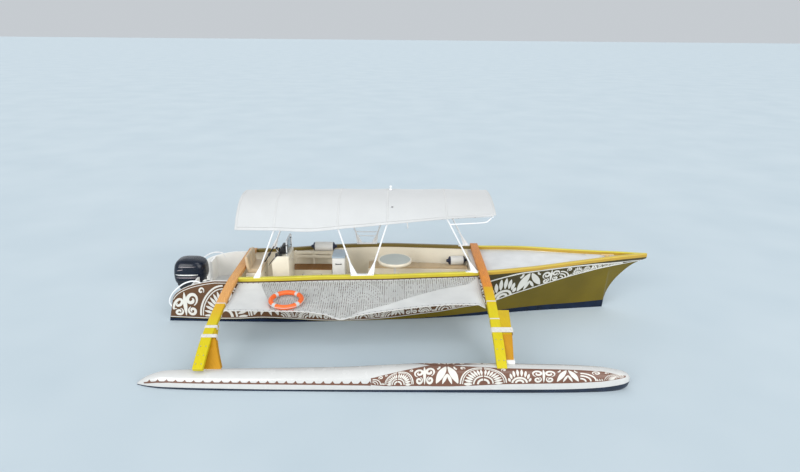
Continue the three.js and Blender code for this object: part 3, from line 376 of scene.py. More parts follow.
def vinyl(name, colour):
    """Padded vinyl: leather-like cells pressed into a soft sheet."""
    finish, tree = shaded(name, colour, 0.52, sheen=0.15)
    where = places(tree)
    drift = noise(tree, where, 4, 5)
    creases = cells(tree, where, 420.0, feature="DISTANCE_TO_EDGE")
    gloss = between(tree, drift, 0.44, 0.62)
    return coated(finish, drifting(tree, drift, colour, 0.88, 1.06), gloss, creases, 0.4, 0.0008)


def stranded(name, colour):
    """Laid rope: slanted strands on the rope's own UV map, u along it in metres and v round it."""
    finish, tree = shaded(name, colour, 0.82, sheen=0.3)
    lay = threads(tree, places(tree, "UV", (60, 3, 1)), 0.9, "DIAGONAL", 0.3)
    drift = drifting(tree, noise(tree, places(tree), 30, 4), colour, 0.88, 1.05)
    return coated(finish, drift, between(tree, lay, 0.9, 0.7), lay, 0.7, 0.0015)


seat_tan = vinyl("seat_tan_vinyl", (0.66, 0.50, 0.31))
rope_white = stranded("rope_white", (0.64, 0.625, 0.58))

# %% Clear smoke acrylic
smoke, tree = shaded("windscreen_smoke", (0.09, 0.12, 0.14), 0.05, ior=1.49)
glass = tree.nodes["Principled BSDF"].inputs
glass["Alpha"].default_value = 0.45
haze = noise(tree, places(tree), 9, 3)
tree.links.new(between(tree, haze, 0.03, 0.12), glass["Roughness"])
print("finishes:", len(bpy.data.materials))

# %% [markdown]
# ## The lines of the boat
# A boat's shape is drawn as a few lines that run its whole length: keel, chine and sheer. Each table
# gives such lines at some stations, in millimetres, and a smooth curve passes through its rows. The
# same tables drive the solids of the frame, so everything that follows the hull fits on it exactly.

# %% Tables of lines
def table_of(names, rows):
    return {name: np.array(column) / 1000 for name, column in zip(names.split(), zip(*rows))}


HULL = table_of("x keel_z chine_half chine_z sheer_half sheer_z", [
    (-4850, -200, 825, -60, 850, 868),
    (-3600, -220, 850, -60, 858, 868),
    (-2700, -235, 855, -60, 880, 897),
    (-1700, -250, 805, -60, 925, 958),
    (-700, -260, 720, -65, 950, 988),
    (300, -265, 620, -70, 875, 1000),
    (1300, -262, 480, -75, 785, 1008),
    (2300, -240, 265, -80, 650, 1050),
    (3300, -180, 118, -80, 388, 1085),
    (3900, -100, 38, -50, 235, 1108),
    (4040, -50, 18, -20, 203, 1113),
    (4062, 200, 16, 215, 199, 1114),
    (4130, 430, 16, 445, 183, 1116),
    (4290, 690, 16, 705, 145, 1122),
    (4600, 985, 16, 1000, 75, 1128),
    (4845, 1098, 12, 1108, 16, 1132),
])
FLOAT = table_of("x half top_z bottom_z", [
    (-4560, 14, 26, -22),
    (-4480, 48, 92, -50),
    (-4340, 92, 165, -82),
    (-4100, 135, 228, -112),
    (-3460, 172, 250, -140),
    (-2560, 186, 272, -152),
    (-1240, 192, 305, -160),
    (-260, 196, 365, -162),
    (230, 197, 385, -162),
    (1380, 196, 388, -155),
    (2360, 184, 378, -130),
    (3000, 158, 352, -90),
    (3330, 118, 305, -28),
    (3450, 74, 262, 30),
    (3495, 28, 208, 110),
])
NET_EDGE = table_of("x outer_z", [
    (-3404, 780), (-2100, 772), (-1600, 715), (-1330, 620), (-1000, 705), (-500, 792),
    (300, 900), (800, 934), (1100, 934), (1264, 862),
])
CANOPY = table_of("x edge_z ridge_z", [
    (-3390, 1940, 2435),
    (-2700, 1938, 2468),
    (-2090, 1918, 2475),
    (-1200, 2000, 2478),
    (-480, 2075, 2478),
    (600, 2190, 2468),
    (1525, 2262, 2425),
])


def read(table, x, column):
    """One column at x, on a smooth curve that never overshoots the table's rows."""
    places, values = table["x"], table[column]
    rise = np.diff(values) / np.diff(places)
    slope = np.zeros(len(values))
    slope[0], slope[-1] = rise[0], rise[-1]
    product = rise[:-1] * rise[1:]
    total = rise[:-1] + rise[1:]
    slope[1:-1] = np.where(product > 0, 2 * product / np.where(total == 0, 1, total), 0)
    k = np.clip(np.searchsorted(places, x, side="right") - 1, 0, len(places) - 2)
    span = places[k + 1] - places[k]
    t = np.clip((x - places[k]) / span, 0, 1)
    start = (2 * t**3 - 3 * t**2 + 1) * values[k] + (t**3 - 2 * t**2 + t) * span * slope[k]
    return start + (3 * t**2 - 2 * t**3) * values[k + 1] + (t**3 - t**2) * span * slope[k + 1]


def smoothstep(x, low, high):
    t = np.clip((x - low) / (high - low), 0, 1)
    return t * t * (3 - 2 * t)


# %% The hull's side
SWELL_AFT, HOLLOW_FORE = 0.012, -0.026
WALL, BOTTOM, KEEL_HALF = 0.04, 0.05, 0.012
SIDES = {"starboard": -1, "port": 1}


def side_half(x, t, inset=0.0):
    """Half the hull's width at x, from the chine (t = 0) to the sheer (t = 1)."""
    chine, sheer = read(HULL, x, "chine_half"), read(HULL, x, "sheer_half")
    fore = smoothstep(x, -0.5, 2.6) * (1 - smoothstep(x, 4.0, 4.8))
    swell = (SWELL_AFT + (HOLLOW_FORE - SWELL_AFT) * fore) * (1 - 0.5 * smoothstep(x, 3.85, 4.25))
    return np.maximum(chine + (sheer - chine) * t + swell * 4 * t * (1 - t) - inset, 0.006)


def side_point(x, z, off=0.0, side=-1):
    """The point of the topsides at x and height z, off the surface by a little."""
    low, high = read(HULL, x, "chine_z"), read(HULL, x, "sheer_z")
    t = np.clip((z - low) / (high - low), 0, 1)
    step, rise = 0.004, 0.01
    by_x = (side_half(x + step, t) - side_half(x - step, t)) / (2 * step)
    up, down = (side_half(x, np.clip(t + way * rise, 0, 1)) for way in (1, -1))
    by_z = (up - down) / (2 * rise * (high - low))
    length = np.sqrt(1 + by_x**2 + by_z**2)
    y = side * (side_half(x, t) + off / length)
    return np.stack([x - by_x / length * off, y, z - by_z / length * off], -1)


FLOAT_Y, FLOAT_POWER = -3.145, 0.78


def bent(value, power):
    """A power that keeps the sign: it turns a circle into a soft rectangle."""
    return np.sign(value) * np.abs(value) ** power


def float_point(x, angle, off=0.0):
    """The point of the float's skin at x, an angle up from its near side, a little off the surface."""
    half, top, bottom = (read(FLOAT, x, name) for name in ("half", "top_z", "bottom_z"))
    y = FLOAT_Y - (half + off) * bent(np.cos(angle), FLOAT_POWER)
    z = (top + bottom) / 2 + ((top - bottom) / 2 + off) * bent(np.sin(angle), FLOAT_POWER)
    return np.stack([x + 0 * angle, y, z], -1)


print("hull at midship, half width:", round(float(side_half(0.0, 1.0)), 3), "m")

# %% [markdown]
# ## Building meshes by hand
# Most boat parts are one of three kinds: a row of rings skinned over (a hull), a round section drawn
# along a line (a tube or rope), or a profile turned about an axis (a fender). Each maker below returns
# corners, faces and a UV map. A Body collects several of them into one mesh, with a finish for each.

# %% Body: a collector of closed shells
class Body:
    def __init__(self):
        self.corners, self.faces, self.finish, self.uv, self.count = [], [], [], [], 0

    def add(self, shell, finish=0):
        corners, faces, uv = shell
        self.corners.append(np.asarray(corners, float))
        self.faces.extend([i + self.count for i in face] for face in faces)
        self.finish.extend(finish if isinstance(finish, list) else [finish] * len(faces))
        self.uv.extend(uv)
        self.count += len(corners)
        return self

    def mesh(self, name):
        mesh = bpy.data.meshes.new(name)
        mesh.from_pydata(np.concatenate(self.corners).tolist(), [], self.faces)
        layer = mesh.uv_layers.new(name="UVMap")
        places = [place for face in self.uv for place in face]
        layer.uv.foreach_set("vector", np.array(places, dtype=np.float32).ravel())
        mesh.polygons.foreach_set("material_index", self.finish)
        mesh.update()
        return mesh


# %% Makers: loft, sweep, lathe and block
def lengths_along(line):
    """How far each point of a line is from its start."""
    return np.concatenate([[0], np.cumsum(np.linalg.norm(np.diff(line, axis=0), axis=1))])


def outward(shell):
    """Turns every face over where the shell's signed volume is negative."""
    corners, faces, uv = shell
    fans = np.array([(face[0], b, c) for face in faces for b, c in zip(face[1:-1], face[2:])])
    first, second, third = (np.asarray(corners)[fans[:, k]] for k in range(3))
    if (first * np.cross(second, third)).sum() < 0:
        faces = [tuple(face[::-1]) for face in faces]
        uv = [tuple(face[::-1]) for face in uv]
    return corners, faces, uv


def loft(rings, closed=False):
    """Skins a row of equal rings and closes both ends. A closed row ends with its first ring."""
    rings = np.asarray(rings, float)
    rows, count = rings.shape[:2]
    lengths = lengths_along(rings.mean(1))
    middle = rings[rows // 2]
    rounds = lengths_along(np.concatenate([middle, middle[:1]]))
    faces, uv = [], []
    for r in range(rows - 1):
        for i in range(count):
            j = (i + 1) % count
            near, far = r * count, (r + 1) * count
            faces.append((near + i, near + j, far + j, far + i))
            u0, u1, v0, v1 = lengths[r], lengths[r + 1], rounds[i], rounds[i + 1]
            uv.append(((u0, v0), (u0, v1), (u1, v1), (u1, v0)))
    corners, last = rings.reshape(-1, 3), (rows - 1) * count
    if closed:
        joined = [tuple(i - last if i >= last else i for i in face) for face in faces]
        return outward((corners[:last], joined, uv))
    for start, place, turn in ((0, lengths[0], -1), (last, lengths[-1], 1)):
        face = [start + i for i in range(count)][::turn]
        faces.append(tuple(face))
        uv.append(tuple((place, rounds[i - start]) for i in face))
    return outward((corners, faces, uv))


def all_round(count):
    return np.linspace(0, 2 * math.pi, count, endpoint=False)


def circle(radius, count):
    return [(radius * math.cos(a), radius * math.sin(a), 0) for a in all_round(count)]


def sweep(path, radius, sides=12, closed=False):
    """A round tube along a path, turned as little as possible. The radius may differ at each point."""
    path = np.asarray(path, float)
    run = np.roll(path, -1, 0) - np.roll(path, 1, 0) if closed else np.gradient(path, axis=0)
    run /= np.linalg.norm(run, axis=1)[:, None]
    first = np.cross(run[0], (0, 0, 1) if abs(run[0][2]) < 0.9 else (1, 0, 0))
    across = [first / np.linalg.norm(first)]
    for direction in run[1:]:
        side = across[-1] - direction * np.dot(across[-1], direction)
        across.append(side / np.linalg.norm(side))
    across = np.array(across)
    up = np.cross(run, across)
    a = all_round(sides)[None, :, None]
    radius = np.broadcast_to(radius, len(path))[:, None, None]
    rings = path[:, None] + radius * (np.cos(a) * across[:, None] + np.sin(a) * up[:, None])
    return loft(np.concatenate([rings, rings[:1]]) if closed else rings, closed)


def curve_through(points, steps):
    """A smooth path through a few points, with a number of steps in each span."""
    points = np.asarray(points, float)
    ghost = np.concatenate([[2 * points[0] - points[1]], points, [2 * points[-1] - points[-2]]])
    t = np.linspace(0, 1, steps, endpoint=False)[:, None]
    spans = []
    for a, b, c, d in zip(ghost, ghost[1:], ghost[2:], ghost[3:]):
        square, cube = 2 * a - 5 * b + 4 * c - d, 3 * b - a - 3 * c + d
        spans.append(0.5 * (2 * b + (c - a) * t + square * t**2 + cube * t**3))
    return np.concatenate(spans + [points[-1:]])


def lathe(profile, centre=(0, 0, 0), axis="Z", sides=48):
    """Turns a profile of (radius, height) about Z or X. It starts and ends on that axis."""
    profile = np.array([row for row in profile if row[0] > 0], float)
    radius, a = profile[:, :1], all_round(sides)
    rings = np.stack([radius * np.cos(a), radius * np.sin(a), np.repeat(profile[:, 1:], sides, 1)], -1)
    corners, faces, uv = loft(rings)
    return corners[:, [2, 0, 1] if axis == "X" else [0, 1, 2]] + np.asarray(centre), faces, uv


def block(low, high, edge=0.003, steps=2):
    """A box with rounded edges."""
    made = bmesh.new()
    bmesh.ops.create_cube(made, size=1)
    low, high = Vector(low), Vector(high)
    bmesh.ops.scale(made, vec=high - low, verts=made.verts)
    bmesh.ops.translate(made, vec=(high + low) / 2, verts=made.verts)
    bmesh.ops.bevel(
        made, geom=made.edges, offset=edge, segments=steps, profile=0.5, affect="EDGES"
    )
    made.verts.index_update()
    corners = np.array([v.co for v in made.verts])
    faces = [tuple(v.index for v in face.verts) for face in made.faces]
    uv = [tuple((v.co[0], v.co[1] + v.co[2]) for v in face.verts) for face in made.faces]
    made.free()
    return corners, faces, uv


def moved(shell, matrix):
    corners = np.asarray(shell[0]) @ np.array(matrix.to_3x3()).T + np.array(matrix.to_translation())
    return corners, shell[1], shell[2]


# %% [markdown]
# Some pieces of the frame already have their true form and only lack softened edges. A copy of the
# solid gets its corners merged and a narrow bevel, because no real edge is perfectly sharp: the
# bevel is what catches the light.

# %% A softened copy of a frame solid
def settled(piece, *helpers):
    """Takes the finished mesh of a scratch object, and removes it with what helped to make it."""
    evaluated = piece.evaluated_get(bpy.context.evaluated_depsgraph_get())
    mesh = bpy.data.meshes.new_from_object(evaluated)
    for used in (piece, *helpers):
        bpy.data.objects.remove(used)
    return mesh


def softened(node, edge, steps=2):
    copy = placed("copy_of_" + node, nodes[node].data.copy())
    work = bmesh.new()
    work.from_mesh(copy.data)
    bmesh.ops.remove_doubles(work, verts=work.verts, dist=0.0002)
    flat = math.radians(1)
    bmesh.ops.dissolve_limit(work, angle_limit=flat, verts=work.verts, edges=work.edges)
    work.to_mesh(copy.data)
    work.free()
    bevel = copy.modifiers.new("soft_edges", "BEVEL")
    bevel.width, bevel.segments = edge, steps
    bevel.limit_method, bevel.angle_limit = "ANGLE", math.radians(30)
    return settled(copy)


# %% [markdown]
# Painted lines need a thickness too. A stroke is a strip with its own width at each point; it is laid
# on a surface, a millimetre above it and a little sunk into it.

# %% Strokes
PAINT_LIFT, PAINT_SUNK = 0.0013, 0.0012


def stroke(path, width, onto, columns=2):
    path = np.asarray(path, float)
    run = np.gradient(path, axis=0)
    run /= np.maximum(np.linalg.norm(run, axis=1), 1e-9)[:, None]
    side = np.stack([-run[:, 1], run[:, 0]], -1)[:, None]
    width = np.broadcast_to(width, len(path))[:, None, None]
    flat = path[:, None] + side * width * np.linspace(-0.5, 0.5, columns + 1)[None, :, None]
    top, low = (onto(flat[..., 0], flat[..., 1], lift) for lift in (PAINT_LIFT, -PAINT_SUNK))
    return loft(np.concatenate([top, low[:, ::-1]], 1))


def about(middle, radius, a):
    return np.stack([middle[0] + radius * np.cos(a), middle[1] + radius * np.sin(a)], -1)


def bow_line(middle, radius, start, end, steps=18):
    return about(middle, radius, np.radians(np.linspace(start, end, steps)))


def curl_line(middle, radius, start, turns, steps=30):
    s = np.linspace(0, 1, steps)
    return about(middle, radius * (1 - 0.78 * s), np.radians(start) + s * turns * 2 * math.pi)


def tapered(steps, wide, start=0.25, end=0.1):
    return wide * np.interp(np.linspace(0, 1, steps), [0, 0.25, 0.75, 1], [start, 1, 1, end])


def leaf(start, end, wide, steps=13):
    """A leaf from one point to another, widest in the middle."""
    s = np.linspace(0, 1, steps)[:, None]
    line = np.array(start) * (1 - s) + np.array(end) * s
    return line, wide * np.sin(math.pi * np.linspace(0.02, 0.98, steps)) ** 0.8

# %% [markdown]
# ## The main hull
# The real hull is moulded: a thin shell laid up in a mould, with a deck dropped in. Here it is skinned
# over 190 stations of the line tables and then hollowed with the inside's own skin, which is the same
# shape set in by the wall. The stern is cut away in an arc and a gap is left for the motor's leg.

# %% Hull rings
SIDE_STEPS = 14
STERN_X, BOW_X = -4.85, 4.845
TRANSOM_X, TRANSOM_WALL, TRANSOM_TOP, TRANSOM_CUT_HALF = -4.36, 0.05, 0.40, 0.43
CHEEK_WALL, STEP_TOP, MOTOR_GAP_HALF = 0.05, 0.10, 0.33
STERN_FOOT, STERN_BEND, STERN_PULL = (-4.85, -0.01), (-4.725, 0.50), (-4.60, 0.77)
STERN_END_X, INNER_END = -3.88, 3.65
OPEN_RISE, CLEAR_Z = 0.4, 1.5


def hull_rings(stations, inset=0.0, rise=0.0):
    rings = []
    for x in stations:
        chine_z = read(HULL, x, "chine_z") + inset
        sheer_z = read(HULL, x, "sheer_z")
        keel_z = min(read(HULL, x, "keel_z") + inset * BOTTOM / WALL, chine_z - 0.004)
        keel_half = KEEL_HALF * 0.9 * min(1, side_half(x, 0.0, inset) / KEEL_HALF)
        t = np.linspace(0, 1, SIDE_STEPS + 1)
        y = np.concatenate([[keel_half], side_half(x, t, inset)])
        z = np.concatenate([[keel_z], chine_z + (sheer_z - chine_z) * t])
        if rise:
            y, z = np.append(y, y[-1]), np.append(z, z[-1] + rise)
        port = np.stack([np.full(len(y), x), y, z], -1)
        rings.append(np.concatenate([port, port[::-1] * (1, -1, 1)]))
    return rings


def scratch(name, shell):
    """A throwaway object made from one shell."""
    return placed(name, Body().add(shell).mesh(name))


def carved(target, cutters):
    """Cuts an object with others, and returns the finished mesh."""
    for cutter in cutters:
        cut = target.modifiers.new(cutter.name, "BOOLEAN")
        cut.operation, cut.object, cut.solver = "DIFFERENCE", cutter, "MANIFOLD"
    return settled(target, *cutters)


# %% Hull skin
def stern_outline():
    """The outline, in (x, z), of what the stern's arc cuts away."""
    t = np.linspace(0, 1, 25)[:, None]
    end = np.array([STERN_END_X, read(HULL, STERN_END_X, "sheer_z")])
    bend, pull = np.array(STERN_BEND), np.array(STERN_PULL)
    arc = (1 - t) ** 2 * bend + 2 * t * (1 - t) * pull + t**2 * end
    back, clear = STERN_FOOT[0] - 0.2, 1.4
    return [(back, STERN_FOOT[1]), STERN_FOOT, *arc.tolist(), (STERN_END_X, clear), (back, clear)]


def hull_skin():
    stations = [np.linspace(STERN_X, 4.0, 130), np.linspace(4.0, BOW_X, 50), HULL["x"]]
    target = scratch("hull_outside", loft(hull_rings(np.unique(np.concatenate(stations)))))
    inner_stations = np.linspace(TRANSOM_X + TRANSOM_WALL, INNER_END, 110)
    corners = ((-1, STEP_TOP), (1, STEP_TOP), (1, CLEAR_Z), (-1, CLEAR_Z))
    steps = [
        [(x, s * side_half(x, 0.5, CHEEK_WALL), z) for s, z in corners]
        for x in np.linspace(STERN_X - 0.02, TRANSOM_X, 20)
    ]
    gap, cut = MOTOR_GAP_HALF, TRANSOM_CUT_HALF
    gap_box = block((STERN_X - 0.02, -gap, -0.4), (TRANSOM_X, gap, CLEAR_Z), 0.02, 4)
    top_box = block((TRANSOM_X - 0.01, -cut, TRANSOM_TOP), (TRANSOM_X + 0.07, cut, CLEAR_Z), 0.004)
    return carved(target, [
        scratch("room", loft(hull_rings(inner_stations, WALL, OPEN_RISE))),
        scratch("stern_room", loft(steps)),
        scratch("motor_gap", gap_box),
        scratch("transom_top", top_box),
        scratch("stern_arc", loft([[(x, y, z) for x, z in stern_outline()] for y in (-1.2, 1.2)])),
    ])


def is_inside(mesh):
    """For each face, whether it is clear of the outer skin: inboard of the side and above the bottom."""
    x, y, z = np.array([p.center for p in mesh.polygons]).T
    keel, low, high = (read(HULL, x, name) for name in ("keel_z", "chine_z", "sheer_z"))
    room = side_half(x, np.clip((z - low) / (high - low), 0, 1)) - np.abs(y)
    bottom = keel + (low - keel) * np.clip(np.abs(y) / read(HULL, x, "chine_half"), 0, 1)
    return (room > 0.012) & (z > bottom + 0.02)


hull_mesh = hull_skin()
print("hull faces:", len(hull_mesh.polygons))

# %% [markdown]
# The hull's paint is a few bands: navy below a line near the water, gloss bronze above it, and a dark
# olive band that carries the white pattern. Forward of the fore beam the olive also covers the strip
# above the band's top line up to the cap, and there it is painted shade under the cap. Each edge of a
# band is a line drawn along the side, so the finish holds these lines as curves of height over x, and
# compares them with the point's own height.

# %% Paint lines
LINE_FROM, LINE_TO = -5.0, 5.0
LINE_LOW, LINE_HIGH = -0.5, 1.5
BOOT_TOP = [
    (-4.85, 0.078), (-4.28, 0.058), (-3.5, 0.056), (-3.0, 0.085), (-2.5, 0.07), (-1.74, 0.01),
    (-0.6, 0.0), (0.34, 0.02), (0.87, 0.05), (1.39, 0.08), (1.99, 0.10), (2.68, 0.13),
    (3.46, 0.14), (4.1, 0.17),
]
BAND_TOP = [
    (1.40, 0.80), (1.535, 0.85), (1.816, 0.933), (2.167, 1.012), (2.529, 1.040), (2.907, 1.052),
    (3.69, 1.058), (4.251, 1.050), (4.53, 1.058),
]
BAND_LOW = [
    (1.47, 0.28), (1.699, 0.353), (2.023, 0.469), (2.42, 0.595), (2.784, 0.708), (3.154, 0.804),
    (3.529, 0.885), (3.91, 0.957), (4.305, 1.001), (4.60, 1.04),
]
SKIRT_LOW = [
    (-4.85, 0.098), (-3.5, 0.076), (-3.0, 0.105), (-2.5, 0.09), (-1.74, 0.03), (-1.2, 0.02),
    (-0.562, 0.048), (0.08, 0.116), (0.596, 0.167), (1.01, 0.236), (1.482, 0.279),
]


def height_line(tree, x, points):
    """The height of a painted line at x, read from a curve."""
    curve = grow(tree, "FloatCurve", {"Value": ranged(tree, x, LINE_FROM, LINE_TO)})
    track = curve.mapping.curves[0]
    wide, tall = LINE_TO - LINE_FROM, LINE_HIGH - LINE_LOW
    first, *inner, last = [((px - LINE_FROM) / wide, (pz - LINE_LOW) / tall) for px, pz in points]
    track.points[0].location, track.points[-1].location = first, last
    for place in inner:
        track.points.new(*place)
    curve.mapping.extend = "HORIZONTAL"
    curve.mapping.update()
    return between(tree, curve.outputs["Value"], LINE_LOW, LINE_HIGH)


def above(tree, z, line):
    """One above the line, nought below, with an edge two millimetres wide."""
    return ranged(tree, sums(tree, "SUBTRACT", z, line), -0.001, 0.001)


def painted_by_height(name, colour, rough, coat=0.0, ior=1.5):
    """A material, its tree, a place on it, and that place's x and z."""
    finish, tree = shaded(name, colour, rough, coat=coat, ior=ior)
    where = places(tree)
    apart = grow(tree, "SeparateXYZ", {"Vector": where})
    return finish, tree, where, apart.outputs["X"], apart.outputs["Z"]


# %% Topsides finish
BRONZE = (0.132, 0.096, 0.006)
# Dark olive: the forward band's ground, and painted shade in the strip above the band, under the cap.
OLIVE_AND_CAP_SHADE = (0.062, 0.048, 0.014)
BROWN = (0.12, 0.058, 0.026)
NAVY = (0.003, 0.009, 0.026)


def topsides_finish():
    finish, tree, where, x, z = painted_by_height("topsides_paint", BRONZE, 0.3, 0.05, 1.36)
    drift = noise(tree, where, 1.6, 4)
    bronze = drifting(tree, drift, BRONZE, 0.86, 1.14)
    brown = drifting(tree, drift, BROWN, 0.85, 1.15)
    navy = drifting(tree, noise(tree, where, 6, 5), NAVY, 0.7, 1.6)
    olive_and_cap_shade = drifting(tree, drift, OLIVE_AND_CAP_SHADE, 0.86, 1.12)
    white = drifting(tree, drift, WHITE, 0.9, 1)
    boot, top, low, skirt = (
        height_line(tree, x, line) for line in (BOOT_TOP, BAND_TOP, BAND_LOW, SKIRT_LOW)
    )
    aft = ranged(tree, x, 1.52, 1.50)
    fore = sums(tree, "SUBTRACT", 1.0, aft)
    # Olive above the band's low line: the ground within the band, painted shade above the band's top
    # line.
    colour = mixed(tree, sums(tree, "MULTIPLY", above(tree, z, low), fore), bronze, olive_and_cap_shade)
    colour = mixed(tree, sums(tree, "MULTIPLY", above(tree, z, skirt), aft), colour, brown)
    for line, here in ((low, fore), (top, fore), (skirt, aft)):
        near = sums(tree, "ABSOLUTE", sums(tree, "SUBTRACT", z, line))
        stripe = ranged(tree, near, 0.007, 0.0055)
        colour = mixed(tree, sums(tree, "MULTIPLY", stripe, here), colour, white)
    colour = mixed(tree, above(tree, z, boot), navy, colour)
    gloss = between(tree, noise(tree, where, 9, 5), 0.15, 0.28)
    return coated(finish, colour, gloss, noise(tree, where, 3.2, 3), 0.12, 0.006)


WELL_FORE_X = -3.62
face_x = np.array([p.center.x for p in hull_mesh.polygons])
# Zones: outside, cream inside, the motor well's lighter white (painted light) and the foredeck non-skid.
zones = is_inside(hull_mesh) * (1 + (face_x < WELL_FORE_X) + 2 * (face_x > INNER_END - 0.01))
hull_mesh.polygons.foreach_set("material_index", zones.astype(np.int32))
hull_finishes = [topsides_finish(), gel_cream, well_white_painted_light, deck_white]
show("hull_skin", hull_mesh, hull_finishes, stands_for=["hull_shell"], slot="topsides", sharp=32)

# %% [markdown]
# ## Decks and gunwale caps
# The deck edge is covered by a cap, a wooden or moulded rail that takes the knocks. Its outer edge is
# round, so the section is a rounded strip drawn along the sheer. The cap is painted yellow or gold on
# top; its upright faces are a darker gold or yellow, which is painted shade, and the port cap between
# the beams is dark mustard all over, painted shade too. A thin white line runs where it meets the hull.

# %% Gunwale caps
CAP_WIDTH, CAP_HEIGHT, CAP_PROUD, HAIR = 0.085, 0.07, 0.015, 0.0003
AFT_BEAM_X1, FORE_BEAM_X0, FORE_BEAM_X1 = -3.411, 1.282, 1.446
CAP_SPANS = {"aft": (AFT_BEAM_X1 + 0.004, FORE_BEAM_X0 - 0.004), "fore": (FORE_BEAM_X1 + 0.004, BOW_X)}


def cap_section(width, corner):
    """Points of (inward, up) round the cap, starting at its outer lower edge."""
    points = [(0.0, 0.0)]
    inner = corner * 0.5
    for radius, middle_x, start in ((corner, corner, 180), (inner, width - inner, 90)):
        for step in range(5):
            a = math.radians(start - step * 22.5)
            middle_z = CAP_HEIGHT - radius
            points.append((middle_x + radius * math.cos(a), middle_z + radius * math.sin(a)))
    return points + [(width, 0.0)]


def cap(span, side):
    rings = []
    for x in np.linspace(*CAP_SPANS[span], 110 if span == "aft" else 90):
        outer = side_half(x, 1.0) + CAP_PROUD
        width = outer - max(outer - CAP_WIDTH, 0.0002)
        low = read(HULL, x, "sheer_z") + HAIR
        section = cap_section(width, min(0.02, width * 0.25))
        rings.append([(x, side * (outer - inward), low + up) for inward, up in section])
    return loft(rings)


def cap_top_and_shaded_sides(shell):
    """A darker gold or yellow on the upright faces, which is painted shade; the cap's paint on the
    rounded top.
    """
    corners, faces, _ = shell
    chosen = []
    for face in faces:
        x, y, z = corners[list(face)].mean(0)
        high = z - read(HULL, x, "sheer_z")
        depth = side_half(x, 1.0) + CAP_PROUD - abs(y)
        upright = depth < 0.004 or depth > CAP_WIDTH - 0.002
        chosen.append(1 if upright and high < 0.06 else 0)
    return chosen


# Top and side paints of each cap: the side paints are painted shade, and the port cap between the beams
# is painted shade all over.
CAP_PAINTS_AND_SHADE = {
    "gunwale_aft_port": [port_cap_painted_shade, port_cap_painted_shade],
    "gunwale_aft_starboard": [cap_yellow, cap_side_painted_shade],
    "gunwale_fore_starboard": [gold_top, rail_side_painted_shade],
}
for span in CAP_SPANS:
    for side_name, side in SIDES.items():
        shell = cap(span, side)
        made = Body().add(shell, cap_top_and_shaded_sides(shell))
        name = f"{span}_{side_name}"
        paints = CAP_PAINTS_AND_SHADE.get("gunwale_" + name, [cap_yellow, rail_side_painted_shade])
        show("cap_" + name, made, paints, stands_for=["gunwale_" + name], slot="gold", sharp=40)

# %% Foredeck
DECK_AFT_X, DECK_CROWN, DECK_THICK = 1.2155, 0.022, 0.028


def foredeck():
    rings = []
    for x in np.linspace(DECK_AFT_X, INNER_END - HAIR, 60):
        sheer, chine = read(HULL, x, "sheer_z"), read(HULL, x, "chine_z")
        edge = sheer - DECK_CROWN - 0.002
        half = side_half(x, (edge - chine) / (sheer - chine), WALL + 0.001)
        y = half * np.linspace(-1, 1, 25)
        top = edge + DECK_CROWN * np.maximum(0, 1 - (y / side_half(x, 1.0)) ** 2)
        upper = np.stack([np.full(25, x), y, top], -1)
        rings.append(np.concatenate([upper, (upper - (0, 0, DECK_THICK))[::-1]]))
    return loft(rings)


show("deck_fore", foredeck(), deck_white, stands_for=["foredeck"], slot="white")

# %% [markdown]
# ## The float
# The float is a long slim hull of its own. Its section is a soft rectangle that swells and shrinks
# along the line table, so it is skinned like the main hull, with more rings near the blunt ends where
# the shape turns fast. It is white gelcoat; its brown pattern is laid on later as thin shapes.

# %% Float
FLOAT_SIDES, FLOAT_AFT, FLOAT_FORE = 56, -4.56, 3.495
# The float's skin is dark navy below this line near the water.
FLOAT_DARK_LINE = [
    (-4.56, 0.015), (-4.2, 0.03), (-2.0, 0.035), (0.0, 0.05),
    (1.5, 0.065), (2.6, 0.075), (3.1, 0.10), (3.5, 0.15),
]


def float_paint():
    """White gelcoat, dark navy below a wavering line near the water."""
    finish, tree, where, x, z = painted_by_height("float_gelcoat", WHITE, 0.26, 0.4)
    drift = noise(tree, where, 4, 5)
    navy = drifting(tree, drift, NAVY, 0.7, 1.6)
    white = drifting(tree, drift, WHITE, 0.68, 0.72)
    colour = mixed(tree, above(tree, z, height_line(tree, x, FLOAT_DARK_LINE)), navy, white)
    gloss = between(tree, drift, 0.2, 0.32)
    return coated(finish, colour, gloss, noise(tree, where, 160, 2), 0.3, 0.0006)


def float_skin():
    spans = ((FLOAT_AFT, -4.3, 16), (3.3, FLOAT_FORE, 14), (-4.3, 3.3, 120))
    stations = np.unique(np.round(np.concatenate([np.linspace(*span) for span in spans]), 5))
    return loft([float_point(x, all_round(FLOAT_SIDES)) for x in stations])


show("float_hull", float_skin(), float_paint(), stands_for=["float"], slot="white", sharp=50)

# %% [markdown]
# ## Crossbeams, struts and feet
# The beams are bent laminated planks. They already have their true form in the frame, so copies of
# them get rounded edges and a map along the grain: the map's u is the place across the boat and v the
# place across the plank, and the wood finish stretches its noise along u.

# %% Grain map
def grained(mesh, along=1):
    """Writes a UV map whose u runs along one axis and v goes across the face."""
    index = np.zeros(len(mesh.loops), dtype=np.int32)
    mesh.loops.foreach_get("vertex_index", index)
    place = np.zeros(len(mesh.vertices) * 3)
    mesh.vertices.foreach_get("co", place)
    place = place.reshape(-1, 3)[index]
    layer = mesh.uv_layers.active or mesh.uv_layers.new(name="UVMap")
    across = place.sum(1) - place[:, along]
    grain = np.stack([place[:, along], across], -1).astype(np.float32)
    layer.uv.foreach_set("vector", grain.ravel())
    return mesh


for end in ("aft", "fore"):
    for name, node, edge, finish in (
        ("beam_", "crossbeam_", 0.011, beam_wood[end]), ("strut_board_", "strut_", 0.008, strut_wood)
    ):
        board = grained(softened(node + end, edge, 3))
        show(name + end, board, finish, stands_for=[node + end], slot="varnish", sharp=60)
    pad = softened("foot_pad_" + end, 0.014, 3)
    show("foot_" + end, pad, gel_white, stands_for=["foot_pad_" + end], slot="white")

